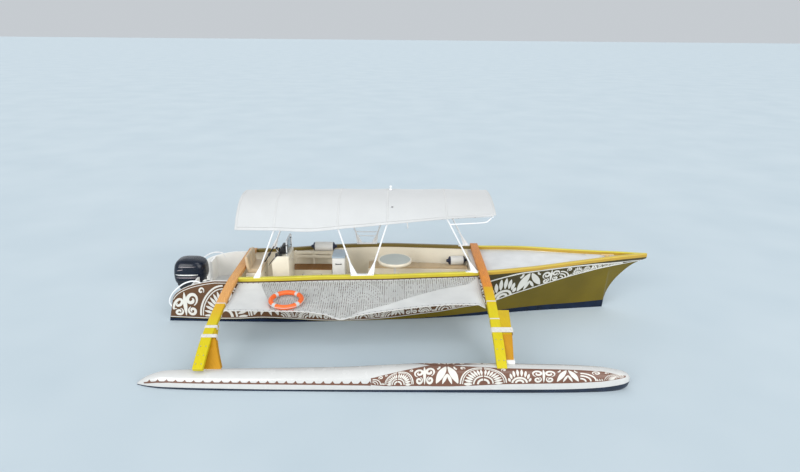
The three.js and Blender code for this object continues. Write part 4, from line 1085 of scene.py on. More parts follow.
# %% [markdown]
# ## Repeating things with Geometry Nodes
# Many small parts of the boat are one shape repeated: bolts, stitches, teeth of the pattern, turns of
# rope. A Geometry Nodes tree takes a mesh of points, puts a copy of a shape on each and realizes the
# copies. Every point carries its own stretch, so one tree serves all of them. The copies stand as their
# shell was made: the rows note a Z and an X direction for each, but the tree doesn't turn them yet. The
# result is taken out as a plain mesh, so nothing live is left in the scene.

# %% Repeater tree
SOCKET_KINDS = {
    "Points": "Geometry", "Lines": "Geometry", "Shape": "Object", "Finish": "Material",
    "Size": "Float", "Width": "Float", "Thickness": "Float",
}


def open_tree(name, inputs):
    """A new Geometry Nodes tree, and what comes in by its named inputs."""
    tree = bpy.data.node_groups.new(name, "GeometryNodeTree")
    interface = tree.interface
    interface.new_socket("Geometry", in_out="OUTPUT", socket_type="NodeSocketGeometry")
    for key in inputs:
        interface.new_socket(key, in_out="INPUT", socket_type="NodeSocket" + SOCKET_KINDS[key])
    return tree, grow(tree, "NodeGroupInput").outputs


def close_tree(tree, geometry, finish):
    """Ends a tree in real geometry with its material set."""
    real = grow(tree, "GeometryNodeRealizeInstances", {"Geometry": geometry})
    sockets = {"Geometry": real.outputs[0], "Material": finish}
    dressed = grow(tree, "GeometryNodeSetMaterial", sockets)
    grow(tree, "NodeGroupOutput", {"Geometry": dressed.outputs[0]})
    return tree


def named(tree, name, kind):
    sockets = {"Name": name}
    node = grow(tree, "GeometryNodeInputNamedAttribute", sockets, data_type=kind)
    return node.outputs["Attribute"]


def repeater():
    tree, given = open_tree("put_shape_on_points", ("Points", "Shape", "Size", "Finish"))
    shape = grow(tree, "GeometryNodeObjectInfo", {"Object": given["Shape"]})
    stretch = {0: named(tree, "stretch", "FLOAT_VECTOR"), "Scale": given["Size"]}
    size = grow(tree, "VectorMath", stretch, operation="SCALE")
    points = grow(tree, "GeometryNodeMeshToPoints", {"Mesh": given["Points"]})
    copies = grow(tree, "GeometryNodeInstanceOnPoints", {
        "Points": points.outputs[0], "Instance": shape.outputs["Geometry"],
        "Scale": size.outputs["Vector"],
    })
    return close_tree(tree, copies.outputs[0], given["Finish"])


REPEATER = repeater()


def run_tree(tree, mesh, inputs, name):
    """Runs a tree once on a mesh, and returns the result as a plain mesh."""
    carrier = placed(name + "_carrier", mesh)
    modifier = carrier.modifiers.new("tree", "NODES")
    modifier.node_group = tree
    for item in tree.interface.items_tree:
        if item.name in inputs:
            modifier[item.identifier] = inputs[item.name]
    result = settled(carrier)
    result.name = name
    return result


def set_out(name, shell, rows, finish, body="boat", **how):
    """Shows copies of a shell, each row (place, its Z, its X, and a stretch unless that is 1)."""
    mesh = bpy.data.meshes.new(name + "_points")
    mesh.from_pydata([tuple(map(float, row[0])) for row in rows], [], [])
    stretch = mesh.attributes.new("stretch", "FLOAT_VECTOR", "POINT")
    for item, row in zip(stretch.data, rows):
        item.vector = row[3] if len(row) > 3 else (1, 1, 1)
    model = scratch(name + "_shape", shell)
    made = run_tree(REPEATER, mesh, {"Shape": model, "Size": 1.0, "Finish": finish}, name)
    bpy.data.objects.remove(model)
    print(name + ":", len(rows))
    return show(name, made, finish, body, **how)


BOLT = lathe([
    (0, -0.001), (0.011, -0.001), (0.011, 0.001), (0.0075, 0.0015),
    (0.0075, 0.005), (0.005, 0.0068), (0, 0.0068),
], sides=12)
print("repeater nodes:", len(REPEATER.nodes))

# %% [markdown]
# ## Rope lashings
# A lashing is one rope wound many times round beam and strut, each turn beside the last. The path is
# a rounded rectangle that moves along the beam by one rope's thickness in each turn, and the rope is
# a round section drawn along it. The rope finish reads the map along the rope for its laid strands.

# %% Lashings
ROPE_OF_LASHING = 0.011
BEAM_THICK = 0.075
BEAMS = {
    "aft": {"x": (-3.585, -3.411), "skew": 0.01, "top": [
        (-0.95, 0.948), (-1.4, 0.9), (-1.8, 0.828), (-2.22, 0.742),
        (-2.6, 0.645), (-2.9, 0.528), (-3.24, 0.345),
    ]},
    "fore": {"x": (1.282, 1.446), "skew": -0.012, "top": [
        (-0.85, 1.091), (-1.44, 1.043), (-1.92, 0.925), (-2.4, 0.77),
        (-2.75, 0.65), (-3.0, 0.52), (-3.25, 0.36),
    ]},
}
LASHINGS = {
    "lashing_aft_upper": ("aft", -2.470, -2.395, -3.390),
    "lashing_aft_lower": ("aft", -2.690, -2.610, -3.340),
    "lashing_fore_strut": ("fore", -2.600, -2.480, 1.662),
}


def beam_top(beam, y):
    """The beam's top line at y: its height and its direction outboard in (y, z)."""
    line = curve_through([(0, *row) for row in BEAMS[beam]["top"]], 14)[:, 1:]
    z, ahead = (np.interp(place, -line[:, 0], line[:, 1]) for place in (-y, -y + 0.02))
    run = np.array([-0.02, ahead - z])
    return z, run / np.linalg.norm(run)


def beam_edges(beam, y):
    """The beam's aft and fore edges at y."""
    shift = BEAMS[beam]["skew"] * (y + 0.95)
    return [x + shift for x in BEAMS[beam]["x"]]


def wound(beam, y0, y1, x1, rope):
    """The path of a rope wound round the beam from y0 to y1."""
    x0, x1 = beam_edges(beam, y0)[0] - rope / 2, x1 - rope / 2
    turns, steps = int((y1 - y0) / rope), 5
    corners = [(x0, 0), (x1, 0), (x1, 1), (x0, 1)]
    path = []
    for turn in range(turns):
        for corner in range(4):
            (x, low), (next_x, next_low) = corners[corner], corners[(corner + 1) % 4]
            for step in range(steps):
                t = step / steps
                share = (turn + (corner + t) / 4) / turns
                y = y0 + rope / 2 + (y1 - y0 - rope) * share
                top, run = beam_top(beam, y)
                off = rope / 2 - (low + (next_low - low) * t) * (BEAM_THICK + rope)
                path.append((x + (next_x - x) * t, y + run[1] * off, top - run[0] * off))
    return np.array(path)


def bound(beam, y0, y1, x1, rope):
    """The wound rope, with every corner of its path cut, so that it bends instead of folding."""
    path = wound(beam, y0, y1, x1, rope)
    near = path[:-1] * 0.75 + path[1:] * 0.25
    far = path[:-1] * 0.25 + path[1:] * 0.75
    inner = np.stack([near, far], 1).reshape(-1, 3)
    return sweep(np.concatenate([path[:1], inner, path[-1:]]), rope / 2, 8)


for name, (beam, y0, y1, x1) in LASHINGS.items():
    rope = bound(beam, y0, y1, x1, ROPE_OF_LASHING)
    show("rope_" + name, rope, rope_white, stands_for=[name], slot="rope", sharp=None)
    print(name, "turns:", int((y1 - y0) / ROPE_OF_LASHING))

# %% [markdown]
# A few turns of thin line bind each beam where its varnish ends, over the scarf of the laminate.

# %% Thin line round the beams
BINDINGS = [("aft", -1.80, -1.772), ("fore", -1.87, -1.842), ("fore", -2.30, -2.272)]
THIN_ROPE = 0.007
binding = Body()
for beam, y0, y1 in BINDINGS:
    binding.add(bound(beam, y0, y1, beam_edges(beam, y0)[1] + THIN_ROPE, THIN_ROPE))
show("beam_bindings", binding, rope_white, slot="rope", sharp=None)

# %% Bolts through beams and struts
rows = []
for beam, bolts_y in {"aft": (-2.86, -3.02, -3.16), "fore": (-2.75, -2.92, -3.10)}.items():
    for y in bolts_y:
        top, run = beam_top(beam, y)
        for dx in (-0.045, 0.045):
            place = (sum(beam_edges(beam, y)) / 2 + dx, y, top)
            rows.append((place, (0, run[1], -run[0]), (1, 0, 0)))
set_out("beam_bolts", BOLT, rows, steel, slot="grey")

# %% [markdown]
# ## The net
# Between hull and float side hangs a net of flat webbing, sewn at every crossing. The straps go over
# and under each other, so each one is a line that rises and falls by a strap's thickness. Geometry
# Nodes draws a flat strap section along all lines at once. The two ends carry white cloth, and a white
# border and a rope run along the outer edge.

# %% The net's surface
NET_OUT_Y, NET_SAG = -2.0, 0.035
NET_FROM, NET_TO = -3.404, 1.264


def net_inner_y(x):
    return -(side_half(x, 0.97) + 0.016)


def net_point(x, t, off=0.0):
    """The net at x, from the hull's side (t = 0) to its outer edge (t = 1)."""
    inner_y = net_inner_y(x)
    inner_z = read(HULL, x, "sheer_z") - 0.028
    near_beam = 1 - smoothstep(np.abs(x + 1.09), 1.7, 2.3)
    sag = NET_SAG * (0.4 + 0.6 * near_beam) * 4 * t * (1 - t)
    z = inner_z + (read(NET_EDGE, x, "outer_z") - inner_z) * t - sag + off
    y = inner_y + (NET_OUT_Y - inner_y) * t
    return np.stack(np.broadcast_arrays(x, y, z), -1)


# %% Strap tree
def strap_tree():
    inputs = ("Lines", "Width", "Thickness", "Finish")
    tree, given = open_tree("flat_straps_on_lines", inputs)
    lines = grow(tree, "GeometryNodeMeshToCurve", {"Mesh": given["Lines"]})
    level = grow(tree, "GeometryNodeSetCurveNormal", {"Curve": lines.outputs[0]}, mode="Z_UP")
    sizes = {"Width": given["Width"], "Height": given["Thickness"]}
    section = grow(tree, "GeometryNodeCurvePrimitiveQuadrilateral", sizes)
    parts = {"Curve": level.outputs[0], "Profile Curve": section.outputs[0], "Fill Caps": True}
    straps = grow(tree, "GeometryNodeCurveToMesh", parts)
    sides = {"Geometry": straps.outputs[0], "Shade Smooth": False}
    flat = grow(tree, "GeometryNodeSetShadeSmooth", sides)
    return close_tree(tree, flat.outputs[0], given["Finish"])


def lines_mesh(name, lines):
    corners = np.concatenate(lines)
    edges, start = [], 0
    for line in lines:
        edges += [(start + i, start + i + 1) for i in range(len(line) - 1)]
        start += len(line)
    mesh = bpy.data.meshes.new(name)
    mesh.from_pydata(corners.tolist(), edges, [])
    return mesh


# %% Webbing
STRAP_WIDTH, STRAP_THICK, STRAP_PITCH, WEAVE = 0.025, 0.0018, 0.0415, 0.0011
ALONG, ACROSS = int((NET_TO - NET_FROM) / STRAP_PITCH), 27
cross_x = np.linspace(NET_FROM + 0.012, NET_TO - 0.012, ALONG + 1)
cross_t = np.linspace(0.012, 0.985, ACROSS + 1)


def over_and_under(count, first):
    return np.where((np.arange(count) + first) % 2 == 0, WEAVE, -WEAVE)


lines = [net_point(cross_x, t, over_and_under(ALONG + 1, j)) for j, t in enumerate(cross_t)]
lines += [net_point(x, cross_t, -over_and_under(ACROSS + 1, i)) for i, x in enumerate(cross_x)]
inputs = {"Width": STRAP_WIDTH, "Thickness": STRAP_THICK, "Finish": net_grey}
webbing = run_tree(strap_tree(), lines_mesh("net_lines", lines), inputs, "net_webbing")
show("net_webbing", webbing, net_grey, stands_for=["net"], slot="net", sharp=None)
print("net:", ALONG, "by", ACROSS, "openings, faces", len(webbing.polygons))

# %% [markdown]
# A cloth is a thin solid: a grid of points on the net's surface, with a second grid a little below and
# a wall round the edge. The same maker gives the two white panels, the border and, later, the canopy.

# %% Cloth maker
def cloth(rows, thick):
    """A thin closed sheet: a grid of points (rows, columns, 3), thickened downwards."""
    rows = np.asarray(rows, float)
    n, m = rows.shape[:2]
    corners = np.concatenate([rows.reshape(-1, 3), (rows - (0, 0, thick)).reshape(-1, 3)])
    at = lambda i, j, low=0: low * n * m + i * m + j
    du, dv = lengths_along(rows[:, m // 2]), lengths_along(rows[n // 2])
    faces, uv = [], []
    for i in range(n - 1):
        for j in range(m - 1):
            quad = [(i, j), (i + 1, j), (i + 1, j + 1), (i, j + 1)]
            for low, order in ((0, quad), (1, quad[::-1])):
                faces.append(tuple(at(a, b, low) for a, b in order))
                uv.append(tuple((du[a], dv[b]) for a, b in order))
    rim = [(i, 0) for i in range(n)] + [(n - 1, j) for j in range(1, m)]
    rim += [(i, m - 1) for i in range(n - 2, -1, -1)] + [(0, j) for j in range(m - 2, 0, -1)]
    for (a, b), (c, d) in zip(rim, rim[1:] + rim[:1]):
        faces.append((at(a, b), at(a, b, 1), at(c, d, 1), at(c, d)))
        here, there = (du[a], dv[b]), (du[c], dv[d])
        uv.append((here, (here[0], here[1] + thick), (there[0], there[1] + thick), there))
    return outward((corners, faces, uv))


def area_of(rows):
    """The area of a grid of points, in square metres."""
    rows = np.asarray(rows, float)
    first = np.cross(rows[1:, :-1] - rows[:-1, :-1], rows[:-1, 1:] - rows[:-1, :-1])
    second = np.cross(rows[1:, :-1] - rows[1:, 1:], rows[:-1, 1:] - rows[1:, 1:])
    return float((np.linalg.norm(first, axis=-1) + np.linalg.norm(second, axis=-1)).sum() / 2)


# %% White cloth panels
AFT_PANEL_EDGE = [(-2.93, -0.90), (-2.92, -1.0), (-2.71, -1.47), (-2.58, -1.88), (-2.55, -2.0)]
FORE_PANEL_EDGE = [
    (-1.15, -1.94), (-0.493, -1.758), (0.046, -1.506),
    (0.533, -1.272), (1.03, -1.113), (1.262, -0.84),
]
CLOTH_LIFT, CLOTH_THICK, CLOTH_END, PANEL_STEPS = 0.0045, 0.0012, 0.985, 24


def aft_panel():
    edge_x, edge_y = np.array(AFT_PANEL_EDGE).T
    rows = []
    for t in np.linspace(0.0, CLOTH_END, 30):
        edge = np.interp(-net_point(-2.9, t)[1], -edge_y, edge_x)
        xs = np.linspace(NET_FROM + 0.008, edge, PANEL_STEPS)
        rows.append(net_point(xs, t, CLOTH_LIFT))
    return np.array(rows)


def fore_panel():
    edge_x, edge_y = np.array(FORE_PANEL_EDGE).T
    rows = []
    for x in np.linspace(-1.15, NET_TO - 0.008, 60):
        inner = net_inner_y(x)
        start = np.clip((np.interp(x, edge_x, edge_y) - inner) / (NET_OUT_Y - inner), 0, 1)
        rows.append(net_point(x, np.linspace(start, CLOTH_END, PANEL_STEPS), CLOTH_LIFT))
    return np.array(rows)


for name, rows in (("net_cloth_aft", aft_panel()), ("net_cloth_fore", fore_panel())):
    piece = show(name, cloth(rows, CLOTH_THICK), net_cloth, slot="cloth", sharp=None)
    width, length = (
        float(max(lengths_along(line)[-1] for line in (grid[0], grid[len(grid) // 2], grid[-1])))
        for grid in (rows.transpose(1, 0, 2), rows)
    )
    area = min(area_of(rows), width * length)
    print(name, "flat", round(width, 2), "by", round(length, 2), "m, area", round(area, 3))

# %% Border straps and edge rope
BORDER, BORDER_LIFT, BORDER_THICK, EDGE_ROPE = 0.055, 0.0058, 0.0024, 0.011
border_x = np.linspace(NET_FROM + 0.006, NET_TO - 0.006, 140)
borders = Body()
for span in ((0.945, 0.992), (0.004, 0.035)):
    strip = [net_point(x, np.linspace(*span, 5), BORDER_LIFT) for x in border_x]
    borders.add(cloth(strip, BORDER_THICK))
for x0 in (NET_FROM + 0.004, NET_TO - BORDER - 0.004):
    xs, ts = np.linspace(x0, x0 + BORDER, 4), np.linspace(0.01, CLOTH_END, 40)
    borders.add(cloth([net_point(x, ts, BORDER_LIFT + 0.0004) for x in xs], BORDER_THICK))
show("net_border", borders, hem_white, slot="cloth", sharp=None)

edge_line = net_point(np.linspace(NET_FROM + 0.008, NET_TO - 0.008, 180), 0.994)
edge_rope = sweep(edge_line, EDGE_ROPE * 0.54, 8)
show("net_edge_rope", edge_rope, rope_white, slot="rope", sharp=None)

# %% [markdown]
# Grommets keep the cloth from tearing where it is laced. They repeat along an edge at one pitch, so
# the repeater places them; each row notes how one would lie flat on the net, but the copies are not
# turned.

# %% Grommets
GROMMET = lathe([
    (0.0, -0.0008), (0.012, -0.0008), (0.0125, 0.0012),
    (0.009, 0.0022), (0.0055, 0.0016), (0.0, 0.0004),
], sides=12)
rows = []
for t in (0.968, 0.02):
    for x in np.linspace(NET_FROM + 0.08, NET_TO - 0.08, 44):
        here, ahead = net_point(np.array([x, x + 0.01]), t, 0.0062)
        out = net_point(x, t + 0.01, 0.0062)
        rows.append((here, np.cross(ahead - here, here - out), ahead - here))
set_out("net_grommets", GROMMET, rows, steel, slot="net", sharp=40)

# %% [markdown]
# ## The canopy
# The canopy is one coated cloth, pulled tight over bent tubes. Between two tubes it sags a little, and
# a hem with a cord in it closes the edge. The cloth is a grid of points on the frame's curved surface,
# lowered between the arches and creased lightly near them, then thickened to a thin closed sheet.

# %% The canopy's surface
CANOPY_HALF, CANOPY_POWER = 0.905, 2.5
CANOPY_FROM, CANOPY_TO = -3.39, 1.525
ARCH_X = (-3.34, -2.65, -1.45, -0.51, 0.61, 1.47)
TUBE, TUBE_DROP, TUBE_EDGE = 0.032, 0.031, 0.012
SAG_MIDDLE, SAG_EDGE = 0.013, 0.005


def canopy_point(x, t, drop=0.0):
    """The canopy at x, from starboard edge (t = 0) to port edge (t = 1), with a drop square to it."""
    edge = read(CANOPY, x, "edge_z")
    rise = read(CANOPY, x, "ridge_z") - edge
    u = 2 * t - 1
    slope = -rise * CANOPY_POWER * bent(u, CANOPY_POWER - 1) / CANOPY_HALF
    scale = 1 / np.hypot(slope, 1)
    y = CANOPY_HALF * u + slope * scale * drop
    z = edge + rise * (1 - np.abs(u) ** CANOPY_POWER) - scale * drop
    return np.stack(np.broadcast_arrays(x, y, z), -1)


def sag(x, t):
    """How far the cloth hangs below its frame: nought at an arch, most between two."""
    place = np.interp(x, ARCH_X, range(len(ARCH_X)))
    between_arches = np.sin(math.pi * place) ** 2
    loose = SAG_EDGE + (SAG_MIDDLE - SAG_EDGE) * 4 * t * (1 - t)
    crease = 0.0012 * np.sin(x * 31 + t * 9) * np.sin(t * 37 + x * 3) * between_arches
    return loose * between_arches + crease


# %% Canopy cloth
CLOTH_TOP, CANOPY_CLOTH_THICK = -0.0065, 0.0022
canopy_x = np.unique(np.concatenate([np.linspace(CANOPY_FROM, CANOPY_TO, 150), ARCH_X]))
canopy_t = np.concatenate([
    np.linspace(*span) for span in ((0, 0.06, 8), (0.08, 0.92, 44), (0.94, 1, 8))
])


def on_cloth(x, t, lift=0.0):
    """A point of the sagging cloth's top, or a hair above it."""
    return canopy_point(x, t, CLOTH_TOP - lift + sag(x, t))


def canopy_rows(xs, ts, lift=0.0):
    return np.array([on_cloth(x, ts, lift) for x in xs])


sheet = canopy_rows(canopy_x, canopy_t)
canopy_sheet = show(
    "canopy_cloth", cloth(sheet, CANOPY_CLOTH_THICK), canopy_cloth,
    stands_for=["canopy"], slot="cloth", sharp=None,
)
canopy_length, canopy_width = (float(lengths_along(line)[-1]) for line in (sheet[:, 30], sheet[70]))
print("canopy cloth:", round(canopy_length, 2), "by", round(canopy_width, 2), "m")

# %% [markdown]
# The hem is folded over a cord, and a band of webbing is sewn over each seam. Both are narrow strips on
# the same surface, a hair above the cloth. The stitches are one small shape that the repeater puts at
# an even pitch along every sewn line; each row notes the line's direction, but the copies are not
# turned.

# %% Hems and seams
HEM_WIDTH, SEAM_WIDTH, CORD = 0.04, 0.034, 0.0065
HEM_SHARE, INNER_X, SEAM_X = HEM_WIDTH / 2.2, canopy_x[1:-1], ARCH_X[1:-1]
trims = Body()
for t in ((0.001, HEM_SHARE), (1 - HEM_SHARE, 0.999)):
    trims.add(cloth(canopy_rows(INNER_X, np.linspace(*t, 4), 0.0016), 0.0036))
bands = [(CANOPY_FROM + 0.003, CANOPY_FROM + HEM_WIDTH), (CANOPY_TO - HEM_WIDTH, CANOPY_TO - 0.003)]
bands += [(x - SEAM_WIDTH / 2, x + SEAM_WIDTH / 2) for x in SEAM_X]
for band in bands:
    trims.add(cloth(canopy_rows(np.linspace(*band, 4), canopy_t, 0.0014), 0.0034))
for t in (0.0, 1.0):
    trims.add(sweep(on_cloth(INNER_X, t, -0.004), CORD, 8))
for x in (CANOPY_FROM, CANOPY_TO):
    trims.add(sweep(on_cloth(x, canopy_t, -0.004), CORD, 8))
canopy_trims = show("canopy_trims", trims, hem_white, slot="cloth", sharp=None)

# %% Stitches
STITCH_PITCH = 0.03
STITCH = block((-0.009, -0.0011, -0.0006), (0.009, 0.0011, 0.0009), 0.0004, 1)


def sewn(x, t):
    """Places at one pitch along a line on the canopy's top, each with its direction."""
    line, raised = on_cloth(x, t, 0.0017), on_cloth(x, t, 0.0117)
    length = lengths_along(line)
    marks = np.arange(STITCH_PITCH, length[-1] - STITCH_PITCH / 2, STITCH_PITCH)
    here, up, run = (
        np.stack([np.interp(marks, length, values[:, k]) for k in range(3)], -1)
        for values in (line, raised - line, np.gradient(line, axis=0))
    )
    return list(zip(here, up, run))


rows = []
for t in (0.004, HEM_SHARE - 0.003, 1 - HEM_SHARE + 0.003, 0.996):
    rows += sewn(INNER_X, t)
for x in (CANOPY_FROM + 0.034, CANOPY_TO - 0.034, *(x + s * 0.012 for x in SEAM_X for s in (-1, 1))):
    rows += sewn(x, canopy_t)
thread = moulded("thread_grey", (0.60, 0.60, 0.585), 0.7, 900, 0.0002)
set_out("canopy_stitches", STITCH, rows, thread, slot="cloth", sharp=None)

# %% Vent patch and loose strap end
vent_place = canopy_point(-0.42, 0.16, CLOTH_TOP - 0.001)
vent_up = canopy_point(-0.42, 0.16, CLOTH_TOP - 0.1) - vent_place
VENT = lathe([
    (0, -0.002), (0.021, -0.002), (0.022, 0.001), (0.015, 0.0045), (0.006, 0.003), (0, 0.003),
], sides=20)
vent_rows = [(vent_place, vent_up, (1, 0, 0))]
set_out("canopy_vent", VENT, vent_rows, black_plastic, slot="black", sharp=40)
x, y, z = canopy_point(-0.135, 0.0, CLOTH_TOP + 0.006)
strap_rows = [
    [(x + w + 0.01 * math.sin(2 * s), y - 0.006 - 0.012 * s, z - 0.11 * s) for w in (-0.014, 0, 0.014)]
    for s in np.linspace(0, 1, 12)
]
show("canopy_strap_end", cloth(strap_rows, 0.002), hem_white, slot="cloth", sharp=None)

# %% [markdown]
# ## Tubes, legs and feet
# The frame is welded from one size of tube, powder coated white. A tube is a circle drawn along a
# line; the arches follow the cloth's surface, a little below it. Every leg stands on a plate that is
# bolted to the gunwale, with a triangular web on each side of the tube.

# %% Arches and rails
frame_tubes = Body()
arch_t = np.linspace(TUBE_EDGE, 1 - TUBE_EDGE, 64)
for x in ARCH_X:
    frame_tubes.add(sweep(canopy_point(x, arch_t, TUBE_DROP), TUBE / 2, 16))
rail_x = np.linspace(ARCH_X[0] - 0.02, ARCH_X[-1] + 0.02, 70)
collars, ties = [], []
for t in (TUBE_EDGE, 1 - TUBE_EDGE):
    rail = canopy_point(rail_x, t, TUBE_DROP)
    frame_tubes.add(sweep(rail, TUBE / 2, 16))
    slope = np.gradient(rail, axis=0)
    for rows, xs, rise, stretch in (
        (collars, ARCH_X, 0, (1, 1, 1)), (ties, np.arange(-3.2, 1.45, 0.31), 0.001, (1, 1, 5))
    ):
        for x in xs:
            run = [np.interp(x, rail_x, slope[:, k]) for k in range(3)]
            rows.append((canopy_point(x, t, TUBE_DROP - rise), run, (0, 1, 0), stretch))
show("canopy_tubes", frame_tubes, tube_white, stands_for=["canopy_frame"], slot="tube", sharp=50)

COLLAR = lathe([
    (0, -0.024), (0.0195, -0.024), (0.0205, -0.021), (0.0205, 0.021), (0.0195, 0.024), (0, 0.024),
], sides=20)
set_out("frame_collars", COLLAR, collars, tube_white, slot="tube", sharp=40)
TIE = sweep(circle(0.0188, 20), 0.0022, 6, True)
set_out("canopy_ties", TIE, ties, hem_white, slot="cloth", sharp=None)

# %% Legs
LEGS = {
    "aft": {"plate": (-3.107, -2.983), "tubes": [(-3.045, -2.65)]},
    "middle": {"plate": (-1.212, -0.768), "tubes": [(-1.15, -1.45), (-0.83, -0.51)]},
    "fore": {"plate": (1.02, 1.262), "tubes": [(1.19, 0.61)]},
}
PLATE_SUNK, PLATE_THICK, PLATE_HALF, WEB_HIGH, WEB_FOOT = 0.016, 0.008, 0.035, 0.25, 0.062
HEAD_STOP, HAND_BARS, BRACE_SHARE = 0.012, (1.235, 1.33), 0.89


def leg_tube(leg, tube, side):
    """Foot and head of one tube of a leg."""
    x0, x1 = leg["plate"]
    foot_y = side * (side_half((x0 + x1) / 2, 1.0) + CAP_PROUD - CAP_WIDTH / 2)
    base = max(read(HULL, x0, "sheer_z"), read(HULL, x1, "sheer_z")) + 2 * HAIR + CAP_HEIGHT
    head = canopy_point(tube[1], TUBE_EDGE if side < 0 else 1 - TUBE_EDGE, TUBE_DROP)
    return np.array([tube[0], foot_y, base]), head


def leg_body(leg_name, side):
    """One leg with its webs, plate, weld beads and brace, and where its bolts go."""
    leg, made = LEGS[leg_name], Body()
    (x0, x1), tubes = leg["plate"], [leg_tube(leg, tube, side) for tube in leg["tubes"]]
    for foot, head in tubes:
        fx, y, base = foot
        run = (head - foot) / np.linalg.norm(head - foot)
        made.add(sweep([foot, (foot + head) / 2, head - run * HEAD_STOP], TUBE / 2, 18))
        top = foot + run * WEB_HIGH
        outline = [
            (fx - WEB_FOOT, base + 0.002), (fx + WEB_FOOT, base + 0.002),
            (top[0] + 0.017, top[2]), (top[0] - 0.017, top[2]),
        ]
        lean = run[1] / run[2]
        made.add(loft([
            [(x, y + (z - base) * lean + s * 0.004, z) for x, z in outline] for s in (-1, 1)
        ]))
        bead = [(fx + a, y + b, base + PLATE_THICK) for a, b, _ in circle(0.0175, 24)]
        made.add(sweep(bead, 0.0035, 6, True))
    low, high = (x0, y - PLATE_HALF, base - PLATE_SUNK), (x1, y + PLATE_HALF, base + PLATE_THICK)
    made.add(block(low, high, 0.003))
    if leg_name == "fore":
        start = foot + (head - foot) * BRACE_SHARE
        bends = [start, (start[0] + 0.06, head[1], start[2] + 0.008)]
        bends += [(x, head[1], z) for x, z in ((1.29, 2.105), (1.4, 2.15), (1.45, 2.2))]
        made.add(sweep(curve_through(bends, 8), TUBE / 2 - 0.002, 16))
    if leg_name == "middle" and side > 0:
        for z in HAND_BARS:
            ends = [a + (b - a) * (z - a[2]) / (b[2] - a[2]) for a, b in tubes]
            made.add(sweep([ends[0], (ends[0] + ends[1]) / 2, ends[1]], 0.01, 14))
    places = [
        (bx, y + by, base + PLATE_THICK) for bx in (x0 + 0.02, x1 - 0.02) for by in (-0.022, 0.022)
    ]
    return made, [(place, (0, 0, 1), (1, 0, 0)) for place in places]


bolts = []
for leg_name in LEGS:
    for side_name, side in SIDES.items():
        made, here = leg_body(leg_name, side)
        bolts += here
        name = f"leg_{leg_name}_{side_name}"
        show(name, made, tube_white, stands_for=["canopy_" + name], slot="tube", sharp=40)
set_out("leg_bolts", BOLT, bolts, steel, slot="tube", sharp=40)

# %% Stern rails
STERN_RAIL = [
    (-4.755, 0.29), (-4.805, 0.37), (-4.795, 0.48), (-4.705, 0.625), (-4.53, 0.775),
    (-4.375, 0.843), (-4.255, 0.85), (-4.17, 0.818), (-4.125, 0.735),
]
for name, side in SIDES.items():
    y = side * (side_half(-4.85, 1.0) - 0.021)
    grip = sweep(curve_through([(x, y, z) for x, z in STERN_RAIL], 8), 0.014, 16)
    stood_for = ["stern_rail_" + name]
    show("stern_grip_" + name, grip, tube_white, stands_for=stood_for, slot="tube", sharp=None)

# %% Masthead light
LIGHT_PLACE = (-0.46, 0.08, 2.487)
mast = Body()
for profile, finish in (
    ([(0, 0), (0.03, 0), (0.03, 0.022), (0.026, 0.03), (0, 0.03)], 0),
    ([(0, 0.03), (0.024, 0.03), (0.024, 0.072), (0, 0.072)], 1),
    ([(0, 0.072), (0.027, 0.072), (0.027, 0.08), (0.018, 0.09), (0, 0.09)], 0),
):
    mast.add(lathe(profile, LIGHT_PLACE, sides=32), finish)
lens_clear = moulded("lens_clear", (0.72, 0.76, 0.78), 0.08, 300, 0.0001, coat=1.0)
lamp_paints = [tube_white, lens_clear]
show("masthead_lamp", mast, lamp_paints, stands_for=["masthead_light"], slot="white", sharp=40)

# %% [markdown]
# ## Cushions
# A cushion is foam in a sewn cover: crowned on top, pulled in between its corners, flat below where it
# lies on the bench. It is drawn as sections along its length, each a rounded outline whose height
# follows a crown, with shallow sewn channels across it. A thin welt of piping runs round the top edge.

# %% Cushion maker
def cushion_section(inner, outer, low, high, crown):
    """The outline of a pad in (y, z), anticlockwise from its lower inner corner."""
    s, tall = np.linspace(0, 1, 15), high - low
    arch = 4 * s * (1 - s)
    top = low + tall * (0.62 + 0.38 * arch**0.35) + crown * arch - crown
    wall = [(outer + 0.004, low + tall * k) for k in (0.42, 0.2)]
    foot = [(outer - 0.008, low), (inner + 0.008, low)]
    near = [(inner - 0.004, low + tall * k) for k in (0.2, 0.42)]
    return list(zip(inner + (outer - inner) * s, top)) + wall + foot + near


BENCH_TOP, CUSHION_TOP, CUSHION_FRONT = 0.6403, 0.7, 0.462
CUSHION_X, CHANNELS, CHANNEL_DEEP = (-0.94, 1.2), 4, 0.013


def bench_cushion(side):
    """The pad along a bench and the welt on its front."""
    rings, seam_line = [], []
    for share in np.linspace(0, 1, 97):
        x = CUSHION_X[0] + (CUSHION_X[1] - CUSHION_X[0]) * share
        place = share * CHANNELS
        high = CUSHION_TOP - CHANNEL_DEEP * math.exp(-(((place - round(place)) * 14) ** 2))
        front = CUSHION_FRONT - 0.006 * math.sin(math.pi * place) ** 2
        low, top = read(HULL, x, "chine_z"), read(HULL, x, "sheer_z")
        outer = side_half(x, (BENCH_TOP - low) / (top - low), WALL) - 0.02
        ring = cushion_section(front + 0.006, outer, BENCH_TOP, high, 0.006)
        rings.append([(x, side * y, z) for y, z in ring])
        seam_line.append((x, side * (front + 0.004), BENCH_TOP + (high - BENCH_TOP) * 0.6))
    return Body().add(loft(rings)).add(sweep(seam_line, 0.0035, 6))


for name, side in SIDES.items():
    pad, stood_for = bench_cushion(side), ["bench_cushion_" + name]
    piece = show("pad_bench_" + name, pad, seat_tan, stands_for=stood_for, slot="vinyl", sharp=60)

